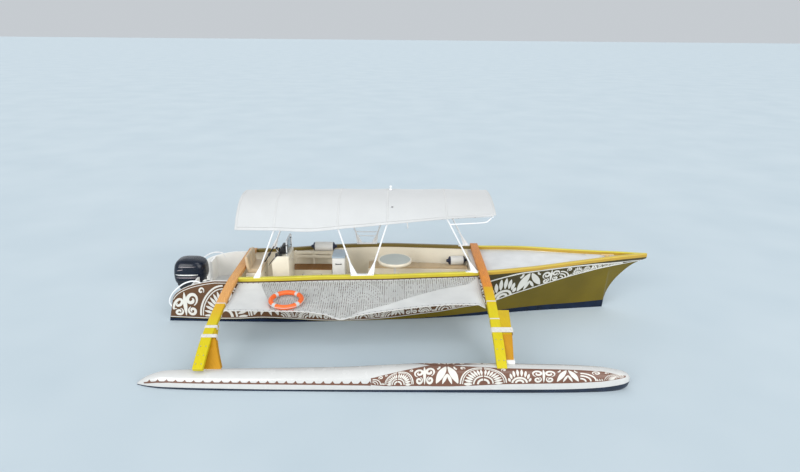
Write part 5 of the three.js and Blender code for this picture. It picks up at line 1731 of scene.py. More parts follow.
# %% Helm seat pads
def pillow(low, high, radius, puff, pull=0.03, cells=14):
    """A puffed block: rounded edges, crowned faces, sides pulled in between the corners."""
    low, high = np.array(low, float), np.array(high, float)
    middle, half = (low + high) / 2, (high - low) / 2
    made = bmesh.new()
    bmesh.ops.create_cube(made, size=2)
    bmesh.ops.subdivide_edges(made, edges=made.edges, cuts=cells, use_grid_fill=True)
    made.verts.index_update()
    unit = np.array([v.co for v in made.verts])
    core = half - radius
    inner = np.clip(unit * half, -core, core)
    out = unit * half - inner
    length = np.maximum(np.linalg.norm(out, axis=1), 1e-9)
    place = inner + out / length[:, None] * radius
    thin = int(np.argmin(half))
    wide = [axis for axis in range(3) if axis != thin]
    crown = (1 - unit[:, wide[0]] ** 2) * (1 - unit[:, wide[1]] ** 2)
    place[:, thin] += np.sign(unit[:, thin]) * puff * crown * (np.abs(unit[:, thin]) > 0.2)
    for axis, other in (wide, wide[::-1]):
        place[:, axis] *= 1 - pull * (1 - unit[:, other] ** 2)
    faces = [tuple(v.index for v in face.verts) for face in made.faces]
    made.free()
    uv = [tuple((place[i][wide[0]], place[i][wide[1]]) for i in face) for face in faces]
    return outward((place + middle, faces, uv))


def welt(low, high, radius=0.0035, inset=0.006):
    """Piping round the edge of a pillow's face, a little below its top."""
    x0, y0, x1, y1 = low[0] + inset, low[1] + inset, high[0] - inset, high[1] - inset
    corners = [(x0, y0), (x1, y0), (x1, y1), (x0, y1)]
    path = [
        (ax + (bx - ax) * s, ay + (by - ay) * s, high[2] - 0.012)
        for (ax, ay), (bx, by) in zip(corners, corners[1:] + corners[:1])
        for s in np.linspace(0.04, 0.96, 12)
    ]
    return sweep(path, radius, 6, True)


HELM_SEAT_X, SEAT_HALF, PAD_GAP = (-3.40, -3.07), 0.318, 0.105
SEAT_BASE, SEAT_TOP, BACK_TOP, BACK_LEAN = 0.8203, 0.895, 1.172, 0.13
seat_low = (HELM_SEAT_X[0] + 0.03, -SEAT_HALF, SEAT_BASE)
seat_high = (HELM_SEAT_X[1], SEAT_HALF, SEAT_TOP)
helm_pads = Body().add(pillow(seat_low, seat_high, 0.026, 0.006)).add(welt(seat_low, seat_high))
lean = Matrix.Translation((-3.345, 0, SEAT_TOP)) @ Matrix.Rotation(-BACK_LEAN, 4, "Y")
for y0, y1 in ((-SEAT_HALF, -PAD_GAP - 0.002), (-PAD_GAP, PAD_GAP), (PAD_GAP + 0.002, SEAT_HALF)):
    pad = pillow((-0.028, y0, -0.045), (0.034, y1, BACK_TOP - SEAT_TOP), 0.024, 0.008, cells=10)
    helm_pads.add(moved(pad, lean))
piece = show(
    "pad_helm_seat", helm_pads, seat_tan,
    stands_for=["helm_seat_cushion"], slot="vinyl", sharp=60,
)

# %% [markdown]
# ## Benches, boxes and the table
# The boxes in the cockpit are moulded shells with rounded edges, so copies of the frame's solids serve
# for them. What makes them read as real is the small things: raised doors, latches and slats. The
# slats and the screws repeat, so the repeater sets them out.

# %% Slat bench
SLAT_X, SLAT_FRONT, SLAT_BACK, SLAT_SEAT = (-2.56, -1.73), 0.34, 0.705, 0.64
SEAT_SLATS, SLAT_THICK = 7, 0.018
UP, AHEAD = (0, 0, 1), (1, 0, 0)
body = softened("slat_bench", 0.006, 3)
show("slat_bench_body", body, gel_cream, stands_for=["slat_bench"], slot="cream")
slat_wide = (SLAT_BACK - SLAT_FRONT - 0.03) / SEAT_SLATS
half = slat_wide / 2 - 0.004
SLAT = block((SLAT_X[0] - 0.005, -half, 0.0004), (SLAT_X[1] + 0.005, half, SLAT_THICK), 0.004)
slat_y = [SLAT_FRONT + slat_wide * (i + 0.5) for i in range(SEAT_SLATS)]
rows = [((0, y, SLAT_SEAT), UP, AHEAD) for y in slat_y]
set_out("slat_bench_slats", SLAT, rows, block_wood, slot="cream")
screws, screw_z = [], SLAT_SEAT + SLAT_THICK - 0.0012
for x in (SLAT_X[0] + 0.04, sum(SLAT_X) / 2, SLAT_X[1] - 0.04):
    screws += [((x, y, screw_z), UP, AHEAD, (0.5, 0.5, 0.4)) for y in slat_y]
    screws += [((x, SLAT_BACK - 0.0236, z), (0, -1, 0), AHEAD, (0.6,) * 3) for z in (0.821, 0.911)]

# %% Locker doors and latches
LATCH = lathe([
    (0, -0.002), (0.019, -0.002), (0.021, 0.002), (0.016, 0.006), (0.012, 0.003), (0, 0.003),
], sides=24)


def door(low, high, axis, side):
    """A shallow raised door on a flat face that looks along an axis, and a round latch in it."""
    grip = (np.array(low) + np.array(high)) / 2
    grip[axis] = high[axis] if side > 0 else low[axis]
    grip[2] = high[2] - 0.05
    facing = Vector([side if k == axis else 0 for k in range(3)])
    turn = facing.to_track_quat("Z", "Y").to_matrix().to_4x4()
    return Body().add(block(low, high)).add(moved(LATCH, Matrix.Translation(grip) @ turn), 1)


DOORS = {
    "door_helm_seat": ((-3.0803, -0.26, 0.33), (-3.074, 0.26, 0.76), 0, 1),
    "door_console_fore": ((-2.5103, -0.25, 0.32), (-2.5045, 0.25, 1.08), 0, 1),
    "door_slat_bench_left": ((-2.52, 0.3345, 0.31), (-2.165, 0.3405, 0.58), 1, -1),
    "door_slat_bench_right": ((-2.125, 0.3345, 0.31), (-1.77, 0.3405, 0.58), 1, -1),
    "door_bench_port": ((-0.60, 0.444, 0.32), (0.02, 0.4505, 0.57), 1, -1),
    "door_bench_port_fore": ((0.30, 0.444, 0.32), (0.92, 0.4505, 0.57), 1, -1),
    "door_bench_starboard": ((-0.60, -0.4505, 0.32), (0.02, -0.444, 0.57), 1, 1),
    "door_bench_starboard_fore": ((0.30, -0.4505, 0.32), (0.92, -0.444, 0.57), 1, 1),
}
for name, row in DOORS.items():
    show(name, door(*row), [gel_cream, steel], slot="cream", sharp=40)

# %% Cool box
COOL_X, COOL_Y, GRIP_Z = (-1.665, -1.405), (-0.04, 0.425), 0.93
body, lid = softened("cool_box", 0.012, 3), softened("cool_box_lid", 0.009, 3)
show("cool_box_body", body, gel_white, stands_for=["cool_box"], slot="white")
show("cool_box_top", lid, lid_grey, "lid", ["cool_box_lid"], "grey")
handles, x = Body(), sum(COOL_X) / 2
for y, out in zip(COOL_Y, (-1, 1)):
    reach = y + out * 0.021
    handles.add(sweep([(x - 0.06, reach, GRIP_Z), (x + 0.06, reach, GRIP_Z)], 0.007))
    near, far = min(y, reach), max(y, reach)
    for end in (x - 0.055, x + 0.055):
        handles.add(block((end - 0.009, near, GRIP_Z - 0.009), (end + 0.009, far, GRIP_Z + 0.009)))
show("cool_box_handles", handles, black_plastic, slot="black", sharp=None)
latch = block((COOL_X[1] - 0.002, 0.165, 0.985), (COOL_X[1] + 0.007, 0.22, 1.035), 0.002)
show("cool_box_latch", latch, steel, slot="grey", sharp=40)

# %% Table
TABLE_X, TABLE_TOP, TABLE_RIM, SOLE_TOP = -0.365, 1.035, 0.08, 0.25
TABLE_PROFILES = [  # its rim and its top hang from the top's height, its foot from the sole
    ([
        (0, -TABLE_RIM), (0.30, -TABLE_RIM), (0.325, -0.076), (0.343, -0.058), (0.35, -0.03),
        (0.348, -0.012), (0.34, -0.002), (0.326, 0), (0.318, -0.002), (0.314, -0.006), (0, -0.006),
    ], TABLE_TOP, 96),
    ([(0, -0.007), (0.312, -0.007), (0.313, -0.004), (0.310, -0.0008), (0, 0)], TABLE_TOP, 96),
    ([
        (0, 0), (0.19, 0), (0.19, 0.008), (0.17, 0.018), (0.06, 0.03), (0.034, 0.05),
        (0.0225, 0.075), *((r, TABLE_TOP - SOLE_TOP - drop) for r, drop in (
            (0.0225, 0.11), (0.05, 0.09), (0.05, TABLE_RIM), (0, TABLE_RIM),
        )),
    ], SOLE_TOP, 48),
]
table = Body()
for finish, (profile, z, sides) in enumerate(TABLE_PROFILES):
    table.add(lathe(profile, (TABLE_X, 0, z), sides=sides), finish)
table_paints = [gel_cream, table_grey, tube_white]
show("round_table", table, table_paints, stands_for=["table"], slot="cream", sharp=40)
for a, b, _ in circle(0.15, 6):
    screws.append(((TABLE_X + a, b, SOLE_TOP + 0.0195), UP, AHEAD, (0.8,) * 3))
set_out("small_screws", BOLT, screws, steel, slot="tube", sharp=40)

# %% [markdown]
# ## The helm
# The console carries what the helmsman needs: a sloping dash with dials and a throttle, a pod with a
# screen, a smoked windscreen in a bent tube, and the wheel. Dials have tick marks and no words. The
# wheel turns on its own body, so it is one piece with its spokes and hub.

# %% Console and pod
CONSOLE_AFT, CONSOLE_TOP, DASH_BACK, DASH_DROP = -2.87, 1.18, 0.12, 0.15
shell, pod = softened("console", 0.022, 4), softened("instrument_pod", 0.014, 3)
show("console_shell", shell, gel_cream, stands_for=["console"], slot="white")
show("pod_shell", pod, black_plastic, stands_for=["instrument_pod"], slot="black")
dash_normal = Vector((-DASH_DROP, 0, DASH_BACK)).normalized()
dash_middle = Vector((CONSOLE_AFT + DASH_BACK / 2, 0, CONSOLE_TOP - DASH_DROP / 2))
dash_turn = dash_normal.to_track_quat("Z", "X").to_matrix().to_4x4()


def dash_place(y, up=0.0):
    slide = Vector((DASH_BACK, 0, DASH_DROP)).normalized() * up
    return Matrix.Translation(dash_middle + slide + Vector((0, y, 0))) @ dash_turn


def dial(radius):
    """A dial's ring, face and needle, each with its finish."""
    face = radius - 0.007
    ring = [
        (0, 0.003), (radius, 0.003), (radius, 0.008), (radius - 0.004, 0.011),
        (radius - 0.006, 0.006), (0, 0.006),
    ]
    yield lathe(ring, sides=40), 1
    yield lathe([(0, 0.0055), (face, 0.0055), (face, 0.0066), (0, 0.0066)], sides=40), 2
    yield block((-0.0012, -0.004, 0.0068), (0.0012, radius - 0.012, 0.0076), 0.0004, 1), 0


DIALS = [(-0.2, 0.034), (-0.115, 0.045), (0.115, 0.045), (0.2, 0.034)]
dash = Body().add(moved(block((-0.27, -0.082, -0.001), (0.27, 0.082, 0.004)), dash_place(0)))
for y, radius in DIALS:
    for shell, finish in dial(radius):
        dash.add(moved(shell, dash_place(y)), finish)
SWITCH = block((-0.008, -0.013, 0.003), (0.008, 0.013, 0.012))
for y in (-0.03, 0.0, 0.03):
    dash.add(moved(SWITCH, dash_place(y, -0.045)), 1)
show("dash_panel", dash, [black_plastic, steel, dial_white], slot="black", sharp=40)

TICK, rows = block((-0.0008, -0.003, 0), (0.0008, 0.003, 0.0006), 0.0002, 1), []
for y, radius in DIALS:
    for a in np.linspace(math.radians(-130), math.radians(130), 11):
        reach, place = radius - 0.012, dash_place(y)
        here = place @ Vector((math.sin(a) * reach, math.cos(a) * reach, 0.0067))
        outer = place.to_3x3() @ Vector((math.cos(a), -math.sin(a), 0))
        rows.append((here, dash_normal, outer))
set_out("dial_ticks", TICK, rows, black_plastic, slot="black", sharp=None)

screen_glass = moulded("screen_glass", (0.012, 0.018, 0.03), 0.08, 200, 0.0001, coat=1.0)
screen = block((-2.7435, -0.125, 1.205), (-2.7385, 0.125, 1.278), 0.002)
show("chart_screen", screen, screen_glass, slot="black", sharp=40)

# %% Throttle
low, high = (-2.79, -0.275, CONSOLE_TOP - 0.03), (-2.66, -0.205, CONSOLE_TOP + 0.05)
throttle = Body().add(block(low, high, 0.014, 3))
arm = curve_through([(-2.725, -0.272, 1.2), (-2.735, -0.285, 1.27), (-2.75, -0.272, 1.335)], 6)
throttle.add(sweep(arm, 0.008), 1)
throttle.add(pillow((-2.775, -0.288, 1.325), (-2.73, -0.22, 1.365), 0.018, 0.002, 0, 6))
show("throttle", throttle, [black_plastic, steel], slot="black", sharp=50)

# %% Windscreen and its rail
RAIL_X, RAIL_HALF, RAIL_TOP, RAIL_BEND = -2.552, 0.268, 1.5, 0.07
flank, low_z = RAIL_HALF - RAIL_BEND, RAIL_TOP - RAIL_BEND
quarter = np.linspace(0, math.pi / 2, 8)
corner = [(flank + math.cos(a) * RAIL_BEND, low_z + math.sin(a) * RAIL_BEND) for a in quarter]
bend = [(RAIL_HALF, CONSOLE_TOP + 0.001), (RAIL_HALF, 1.3)] + corner
route = [(RAIL_X, -y, z) for y, z in bend] + [(RAIL_X, y, z) for y, z in bend[::-1]]
tube = sweep(route, 0.013, 16)
show("console_tube", tube, tube_white, stands_for=["console_rail"], slot="tube", sharp=None)
pane = softened("windscreen", 0.0015)
show("windscreen_pane", pane, smoke, stands_for=["windscreen"], slot="smoke")
clips = Body()
for y in (-RAIL_HALF, RAIL_HALF):
    for z in (1.24, 1.4):
        low, high = (RAIL_X - 0.008, y - 0.03, z), (RAIL_X + 0.008, y + 0.016, z + 0.022)
        clips.add(block(low, high))
show("windscreen_clips", clips, black_plastic, slot="black", sharp=40)

# %% Wheel
WHEEL_PLACE, WHEEL_RADIUS, WHEEL_RIM, WHEEL_LEAN = (-2.965, 0, 1.12), 0.18, 0.026, 0.55
wheel_turn = Matrix.Translation(WHEEL_PLACE) @ Matrix.Rotation(-math.pi / 2 + WHEEL_LEAN, 4, "Y")
rim = sweep(circle(WHEEL_RADIUS, 72), WHEEL_RIM / 2, 14, True)
wheel = Body().add(moved(rim, wheel_turn))
for i in range(3):
    a = math.pi + i * 2 * math.pi / 3
    spoke = [
        (r * math.cos(a), r * math.sin(a), 0.004 * (1 - r / WHEEL_RADIUS))
        for r in (0.0, 0.06, 0.12, WHEEL_RADIUS)
    ]
    wheel.add(moved(sweep(spoke, 0.0085), wheel_turn), 1)
hub = lathe([
    (0, -0.025), (0.034, -0.025), (0.038, -0.02), (0.038, 0.015), (0.03, 0.025), (0, 0.028),
], sides=32)
wheel.add(moved(hub, wheel_turn))
show("wheel", wheel, [black_plastic, steel], "wheel", ["helm_wheel"], "black", 50)

# %% [markdown]
# ## Loose gear
# The lifebuoy is a ring with four reflecting bands and a grab rope that is held by the bands. The
# fenders are inflated tubes with darker moulded ends and an eye in each. All are turned or swept
# shapes; the rope follows the ring and bows out between the bands.

# %% Lifebuoy
BUOY_X, BUOY_Y, BUOY_RING, BUOY_TUBE, BUOY_TILT = -2.34, -1.66, 0.275, 0.044, 0.085
near_y = -side_half(BUOY_X, 1.0)
buoy_z = net_point(BUOY_X, (BUOY_Y - near_y) / (NET_OUT_Y - near_y))[2] + BUOY_TUBE + 0.026
buoy_turn = Matrix.Translation((BUOY_X, BUOY_Y, buoy_z)) @ Matrix.Rotation(BUOY_TILT, 4, "X")
buoy = Body().add(moved(sweep(circle(BUOY_RING, 96), BUOY_TUBE, 24, True), buoy_turn))


def around(a, r=BUOY_RING, z=0.0):
    return r * math.cos(a), r * math.sin(a), z


BAND_AT = [math.radians(d) for d in (52, 142, 232, 322)]
for middle in BAND_AT:
    arc = [around(a) for a in np.linspace(middle - 0.12, middle + 0.12, 10)]
    buoy.add(moved(sweep(arc, BUOY_TUBE + 0.0015, 24), buoy_turn), 1)
buoy_paints = [buoy_orange, hem_white]
show("lifebuoy_ring", buoy, buoy_paints, stands_for=["lifebuoy"], slot="orange", sharp=60)
grab, rope_ring = [], BUOY_RING + BUOY_TUBE + 0.004
for start in BAND_AT:
    for s in np.linspace(0, 1, 20, endpoint=False):
        bow = 4 * s * (1 - s)
        grab.append(around(start + s * math.pi / 2, rope_ring + 0.008 * bow, 0.012 * bow))
rope = moved(sweep(grab, 0.0045, 8, True), buoy_turn)
show("lifebuoy_rope", rope, rope_white, slot="rope", sharp=None)

# %% Fenders
FENDERS = {  # its middle, its length and its turn about the upright
    "fender_aft": ((-1.915, 0.715, 1.051), 0.56, 0.0),
    "fender_fore": ((0.972, 0.57, 0.802), 0.45, 0.12),
}
FENDER_RADIUS = 0.1
FENDER_END = [(0.05, 0.066), (0.072, 0.06), (0.09, 0.08), (FENDER_RADIUS, 0.115)]
FENDER_CAP = [
    (0, 0), (0.02, 0), (0.03, 0.006), (0.034, 0.03), (0.05, 0.046),
    (0.076, 0.054), (0.0915, 0.074), (0.093, 0.084), (0, 0.09),
]
for name, (middle, length, turn) in FENDERS.items():
    half = length / 2
    place = Matrix.Translation(middle) @ Matrix.Rotation(turn, 4, "Z")
    aft = [(0, 0.075 - half), *((r, inset - half) for r, inset in FENDER_END)]
    fender = Body().add(moved(lathe(aft + [(r, -z) for r, z in aft[::-1]], axis="X", sides=40), place))
    for s in (-1, 1):
        cap_shell = lathe([(r, s * (half - z)) for r, z in FENDER_CAP], axis="X", sides=40)
        fender.add(moved(cap_shell, place), 1)
    for groove in np.linspace(0.14 - half, half - 0.14, 4):
        ring = [(groove, y, z) for y, z, _ in circle(FENDER_RADIUS + 0.0005, 40)]
        fender.add(moved(sweep(ring, 0.0025, 6, True), place))
    paints = [fender_white, navy_rubber]
    show(name + "_body", fender, paints, stands_for=[name], slot="white", sharp=50)

# %% Bow fitting
fitting = Body().add(block((3.985, -0.022, 1.1172), (4.075, 0.022, 1.159), 0.009, 3))
HORN = [(3.89, 0, 1.163), (3.95, 0, 1.1655), (4.03, 0, 1.162), (4.11, 0, 1.1655), (4.17, 0, 1.163)]
HORN_THICK = ([0, 0.1, 0.5, 0.9, 1], [0.008, 0.0135, 0.017, 0.0135, 0.008])
horn = curve_through(HORN, 8)
fitting.add(sweep(horn, np.interp(np.linspace(0, 1, len(horn)), *HORN_THICK), 16))
fitting = grained(fitting.mesh("bow_fitting"), 0)
show("bow_fitting", fitting, cleat_wood, stands_for=["bow_cleat"], slot="varnish", sharp=50)

# %% [markdown]
# ## Outboard motor
# The cowl is a glass-fibre hood clipped over the engine: a mould, so its section is a rounded oblong
# that changes smoothly with height. A few measured rows give the form and a curve through them gives
# the rings between. A groove runs round it where hood and lower case meet, over a rubber seal.

# %% Motor form
COWL_ROWS = [  # height, foremost x, aftmost x, half the width
    (0.53, -4.385, -4.922, 0.212), (0.6, -4.308, -4.938, 0.24), (0.7, -4.276, -4.944, 0.254),
    (0.8, -4.273, -4.936, 0.254), (0.9, -4.284, -4.914, 0.243), (0.97, -4.318, -4.876, 0.216),
    (1.012, -4.385, -4.822, 0.172), (1.035, -4.475, -4.742, 0.115),
]
COWL_WALL, COWL_BEND, SEAM_Z, LID_Z, CROWN_Z = 0.026, 0.62, 0.585, 1.0, 1.035
cowl_line = curve_through(COWL_ROWS, 8)


def cowl_at(z, inset=0.0):
    """Middle x, half length and half width of the cowl at a height."""
    front, aft, half = (np.interp(z, cowl_line[:, 0], cowl_line[:, k]) for k in (1, 2, 3))
    return (front + aft) / 2, (front - aft) / 2 - inset, half - inset


def cowl_ring(z, inset=0.0):
    a = all_round(72)
    middle, reach, half = cowl_at(z, inset)
    x, y = middle + reach * bent(np.cos(a), COWL_BEND), half * bent(np.sin(a), COWL_BEND)
    return np.stack(np.broadcast_arrays(x, y, z), -1)


def cowl_side(x, z, off, side=-1):
    """The cowl's flank at x and z, moved outward by off."""
    middle, reach, half = cowl_at(z)
    cosine = np.clip(np.abs(x - middle) / reach, 0, 0.999) ** (1 / COWL_BEND)
    return np.stack([x, side * (half * np.sqrt(1 - cosine**2) ** COWL_BEND + off), z], -1)


def cowl_shell():
    """One closed skin: up the inside, over the top edge and down the outside."""
    groove = SEAM_Z + np.array([-0.008, -0.005, 0.0, 0.005, 0.008])
    heights = np.unique(np.concatenate([cowl_line[:, 0], groove]))
    inner = [cowl_ring(z, COWL_WALL) for z in heights if z < LID_Z]
    lid = [cowl_ring(LID_Z, COWL_WALL + k) for k in (0.03, 0.07)]
    outer = [cowl_ring(z, 0.005 * (abs(z - SEAM_Z) < 0.006)) for z in heights]
    rises = ((0.03, 0.004), (0.06, 0.006), (0.09, 0.007))
    crown = [cowl_ring(CROWN_Z, inset) + (0, 0, rise) for inset, rise in rises]
    return loft(np.array((inner + lid)[::-1] + outer + crown))


cowl, seal = cowl_shell(), sweep(cowl_ring(SEAM_Z, 0.003), 0.0045, 8, True)
show("motor_cowl", cowl, motor_paint, "motor", ["outboard_cowl"], "cowl", 50)
show("motor_seal", seal, black_plastic, "motor", slot="black", sharp=None)
print("cowl width:", round(float(cowl_line[:, 3].max()) * 2, 3), "m")

# %% [markdown]
# The light streaks on the cowl are painted highlights, strokes laid on the flank like the hull's
# pattern: a plain set, without any lettering. Louvres at the back let the engine breathe.

# %% Painted highlights on the cowl
HIGHLIGHT_STREAKS = [  # its ends, its height and rise, its width, and how wide it starts
    (-4.87, -4.40, 0.735, 0.008, 0.022, 0.35), (-4.84, -4.38, 0.692, 0.008, 0.007, 0.6),
    (-4.86, -4.37, 0.668, 0.008, 0.009, 0.6), (-4.83, -4.70, 0.825, 0.03, 0.010, 0.4),
    (-4.80, -4.44, 0.905, 0.008, 0.006, 0.5),
]
# Painted highlights: the first streak bright white, the others pale.
bright, pale = Body(), Body()
for side in SIDES.values():
    for k, (x0, x1, z, rise, wide, start) in enumerate(HIGHLIGHT_STREAKS):
        line = np.stack([np.linspace(x0, x1, 24), z + rise * np.linspace(0, 1, 24)], -1)
        onto = lambda x, q, off: cowl_side(x, q, off, side)
        (pale if k else bright).add(stroke(line, tapered(24, wide, start, 0.3), onto))
show("cowl_streak", bright, dial_white, "motor", slot="grey")
show("cowl_trim", pale, cowl_trim, "motor", slot="grey")

LOUVRE = block((-0.004, -0.085, -0.0035), (0.012, 0.085, 0.0035), 0.0025)
rows = []
for z in np.linspace(0.80, 0.90, 6):
    middle, reach, _ = cowl_at(z)
    rows.append(((middle - reach + 0.002, 0, z), (-0.35, 0, 1), (-1, 0, -0.35)))
set_out("cowl_louvres", LOUVRE, rows, black_plastic, "motor", slot="black")
latches = Body()
middle, reach, _ = cowl_at(SEAM_Z)
fore, aft = middle + reach, middle - reach
for x0, x1, half, low, high in (
    (fore - 0.012, fore + 0.008, 0.028, 0.035, 0.022), (aft - 0.008, aft + 0.012, 0.024, 0.03, 0.02)
):
    latches.add(block((x0, -half, SEAM_Z - low), (x1, half, SEAM_Z + high), 0.004))
show("cowl_latch", latches, black_plastic, "motor", slot="black")

# %% Leg fittings
PROP_X, PROP_Z = -4.905, -0.43
fittings, rows = Body(), []
for side in SIDES.values():
    y = side * 0.085
    fittings.add(block((-4.90, y - 0.012, -0.244), (-4.82, y + 0.012, -0.228), 0.004))
    for z in np.linspace(-0.37, -0.29, 8):
        rows.append(((-4.66, side * 0.0375, z), (0, side, 0), (1, 0, 0.15)))
fittings.add(block((-4.80, -0.012, -0.262), (-4.74, 0.012, -0.228), 0.005))
show("leg_anodes", fittings, cast_metal, "motor", slot="powerhead")
SLIT = block((-0.0225, -0.002, -0.0015), (0.0225, 0.002, 0.0015), 0.0012, 1)
set_out("leg_intake", SLIT, rows, black_plastic, "motor", slot="black")

CLAMP_BOLTS = ((-4.40, 0.16), (-4.40, 0.24), (-4.31, 0.34), (-4.31, 0.42), (-4.37, 0.30))
rows = [
    ((x, side * 0.13, z), (0, side, 0), AHEAD) for side in SIDES.values() for x, z in CLAMP_BOLTS
]
set_out("clamp_bolts", BOLT, rows, steel, slot="grey")

# %% [markdown]
# A propeller blade is a screw surface: each section is tilted so that all of them advance the same
# distance in a turn, steep at the hub and flat at the tip. The sections are bent onto cylinders about
# the shaft, so the blade's edge keeps its radius.

# %% Propeller
PITCH, BLADES, HUB, TIP = 0.33, 3, 0.052, 0.186
CHORD = ([0, 0.3, 0.6, 0.85, 1], [0.085, 0.122, 0.134, 0.104, 0.03])


def blade(turn):
    rings = []
    for r in np.linspace(HUB, TIP, 16):
        share = (r - HUB) / (TIP - HUB)
        tilt, thick = math.atan(PITCH / (2 * math.pi * r)), 0.010 * (1 - 0.72 * share)
        a = all_round(20)
        along = np.cos(a) * np.interp(share, *CHORD) / 2
        across = np.sin(a) * thick / 2
        bend = (along * math.cos(tilt) - across * math.sin(tilt)) / r + turn + 0.25 * share**2
        x = PROP_X - along * math.sin(tilt) - across * math.cos(tilt)
        rings.append(np.stack([x, r * np.cos(bend), PROP_Z + r * np.sin(bend)], -1))
    return loft(np.array(rings))


screw = Body()
for k in range(BLADES):
    screw.add(blade(2 * math.pi * k / BLADES + math.pi / 2))
screw.add(lathe([
    (0, -4.967), (0.024, -4.966), (0.036, -4.955), (0.05, -4.93),
    (0.0575, -4.90), (0.058, -4.866), (0.052, -4.8605), (0, -4.8605),
], (0, 0, PROP_Z), "X", 40))
show("propeller", screw, prop_paint, "propeller", ["outboard_propeller"], "powerhead", 40)
print("propeller blades:", BLADES, "radius", TIP)

# %% [markdown]
# ## Pieces that keep the frame's form
# Bulkheads, brackets and boxes are plain shapes in real life too. They get softened edges and their
# own finish, and stay where the frame has them.

# %% Plain pieces
PLAIN = [
    ("cockpit_sole", sole_cream, "cream", 0.002), ("well_floor", deck_white, "white", 0.002),
    ("aft_bulkhead", gel_cream, "cream", 0.003), ("fore_bulkhead", gel_cream, "cream", 0.003),
    ("bench_starboard", gel_cream, "cream", 0.006), ("bench_port", gel_cream, "cream", 0.006),
    ("helm_seat_box", gel_cream, "cream", 0.02),
    ("outboard_clamp", motor_leg_paint, "motor", 0.004),
    ("outboard_swivel", motor_leg_paint, "motor", 0.004),
    ("outboard_powerhead", cast_metal, "powerhead", 0.006),
    ("outboard_leg", motor_leg_paint, "motor", 0.003),
]
BODY_OF = {"outboard_swivel": "tilt_bracket", "outboard_leg": "motor", "outboard_powerhead": "motor"}
for node, finish, slot, edge in PLAIN:
    show("plain_" + node, softened(node, edge), finish, BODY_OF.get(node, "boat"), [node], slot)
print("plain pieces:", len(PLAIN))

# %% [markdown]
# ## The painted pattern
# Both hulls carry bands of the traditional kind: curls, fans, leaves, waves, shells and rows of teeth,
# white on brown. The layout is made up here. A motif is a few brush strokes in a unit square, and a
# stroke is laid on the hull's surface as a strip a millimetre thick, as a coat of paint is.

# %% Motifs in a unit square
def fan():
    made = [(bow_line((0.5, 0.0), r, 4, 176, 22), 0.075) for r in (0.16, 0.31)]
    for a in np.radians(np.linspace(12, 168, 8)):
        across, up = math.cos(a), math.sin(a)
        end = (0.5 + 0.49 * across, 0.95 * up**0.5 * (0.6 + 0.4 * up))
        made.append(leaf((0.5 + 0.4 * across, 0.4 * up), end, 0.1))
    return made


def curls():
    made = []
    for side, start, turns in ((-1, 250, -1.35), (1, -70, 1.35)):
        upper = curl_line((0.5 + side * 0.25, 0.62), 0.24, start, turns)
        lower = curl_line((0.5 + side * 0.26, 0.2), 0.17, start + 180, turns)
        made += [(upper, tapered(30, 0.085)), (lower, tapered(30, 0.07))]
    return made + [leaf((0.5, 0.02), (0.5, 0.98), 0.1)]


def leaves():
    made = [leaf((0.04, 0.06), (0.46, 0.94), 0.22), leaf((0.96, 0.06), (0.54, 0.94), 0.22)]
    made += [leaf((0.3, 0.04), (0.5, 0.5), 0.1), leaf((0.7, 0.04), (0.5, 0.5), 0.1)]
    for x, start in ((0.06, -80), (0.94, 160)):
        made.append((bow_line((x, 0.9), 0.13, start, start + 100, 10), 0.06))
    return made


def waves():
    made = [(bow_line((1.0, 0.0), r, 92, 178, 16), 0.075) for r in (0.25, 0.47, 0.69)]
    made.append((curl_line((0.28, 0.76), 0.2, -60, 1.3, 24), tapered(24, 0.075)))
    for x in (0.03, 0.13, 0.23):
        tooth = [(x, 0.02), (x + 0.02, 0.1), (x + 0.04, 0.2)]
        made.append((tooth, np.array([0.085, 0.05, 0.01])))
    return made


def shell():
    arcs = ((0.96, 0.045), (0.87, 0.028), (0.40, 0.05), (0.22, 0.07))
    made = [(bow_line((1, 0), r, 92, 178, 22), wide) for r, wide in arcs]
    for a in np.radians(np.arange(97, 178, 11.5)):
        reach = np.array([math.cos(a), math.sin(a)])
        made.append(leaf((1, 0) + 0.46 * reach, (1, 0) + 0.82 * reach, 0.075))
    made.append((curl_line((0.14, 0.86), 0.11, -40, 1.1, 20), tapered(20, 0.045)))
    return made


BOLD = 1.5


def lay(body, motif, x0, width, foot, height, onto, flip=False):
    """Lays a motif's strokes in the box that starts at x0 and stands on the line foot(x)."""
    for path, wide in motif():
        path = np.asarray(path, float)
        x = x0 + (1 - path[:, 0] if flip else path[:, 0]) * width
        tall = height(x)
        scale = min(width, float(np.mean(tall)))
        columns = 4 if np.max(wide) * scale > 0.05 else 2
        line = np.stack([x, foot(x) + path[:, 1] * tall], -1)
        body.add(stroke(line, np.asarray(wide) * scale * BOLD, onto, columns))


# %% [markdown]
# A band is a row of motifs between two lines on the side. The lines are the ones that the paint uses,
# so the white pattern ends where its dark ground ends. At the stern the side is cut in an arc, and the
# band's upper line follows that arc.

# %% Bands on the main hull
def line_at(points):
    xs, heights = np.array(points).T
    return lambda x: np.interp(x, xs, heights)


band_top, band_low, skirt_low = (line_at(points) for points in (BAND_TOP, BAND_LOW, SKIRT_LOW))
stern_top = line_at([STERN_FOOT, *stern_outline()[2:-2]])
BAND_FROM, BAND_TO = 1.53, 4.3


def side_top(x):
    """The upper line of the aft pattern: under the sheer, and under the arc at the stern."""
    sheer = read(HULL, x, "sheer_z")
    return np.where(x < STERN_END_X, np.minimum(stern_top(x), sheer), sheer) - 0.035


def onto_side(side, low, high, margin=0.012):
    """Lays (x, z) on the side, kept between two lines."""
    def onto(x, z, off):
        least = low(x) + margin
        return side_point(x, np.clip(z, least, np.maximum(high(x) - margin, least + 0.001)), off, side)
    return onto


def shifted(line, by):
    return lambda x: line(x) + by


def edge_stroke(body, start, end, count, line, width, onto):
    """A plain stroke along a line of the side."""
    xs = np.linspace(start, end, count)
    body.add(stroke(np.stack([xs, line(xs)], -1), width, onto))


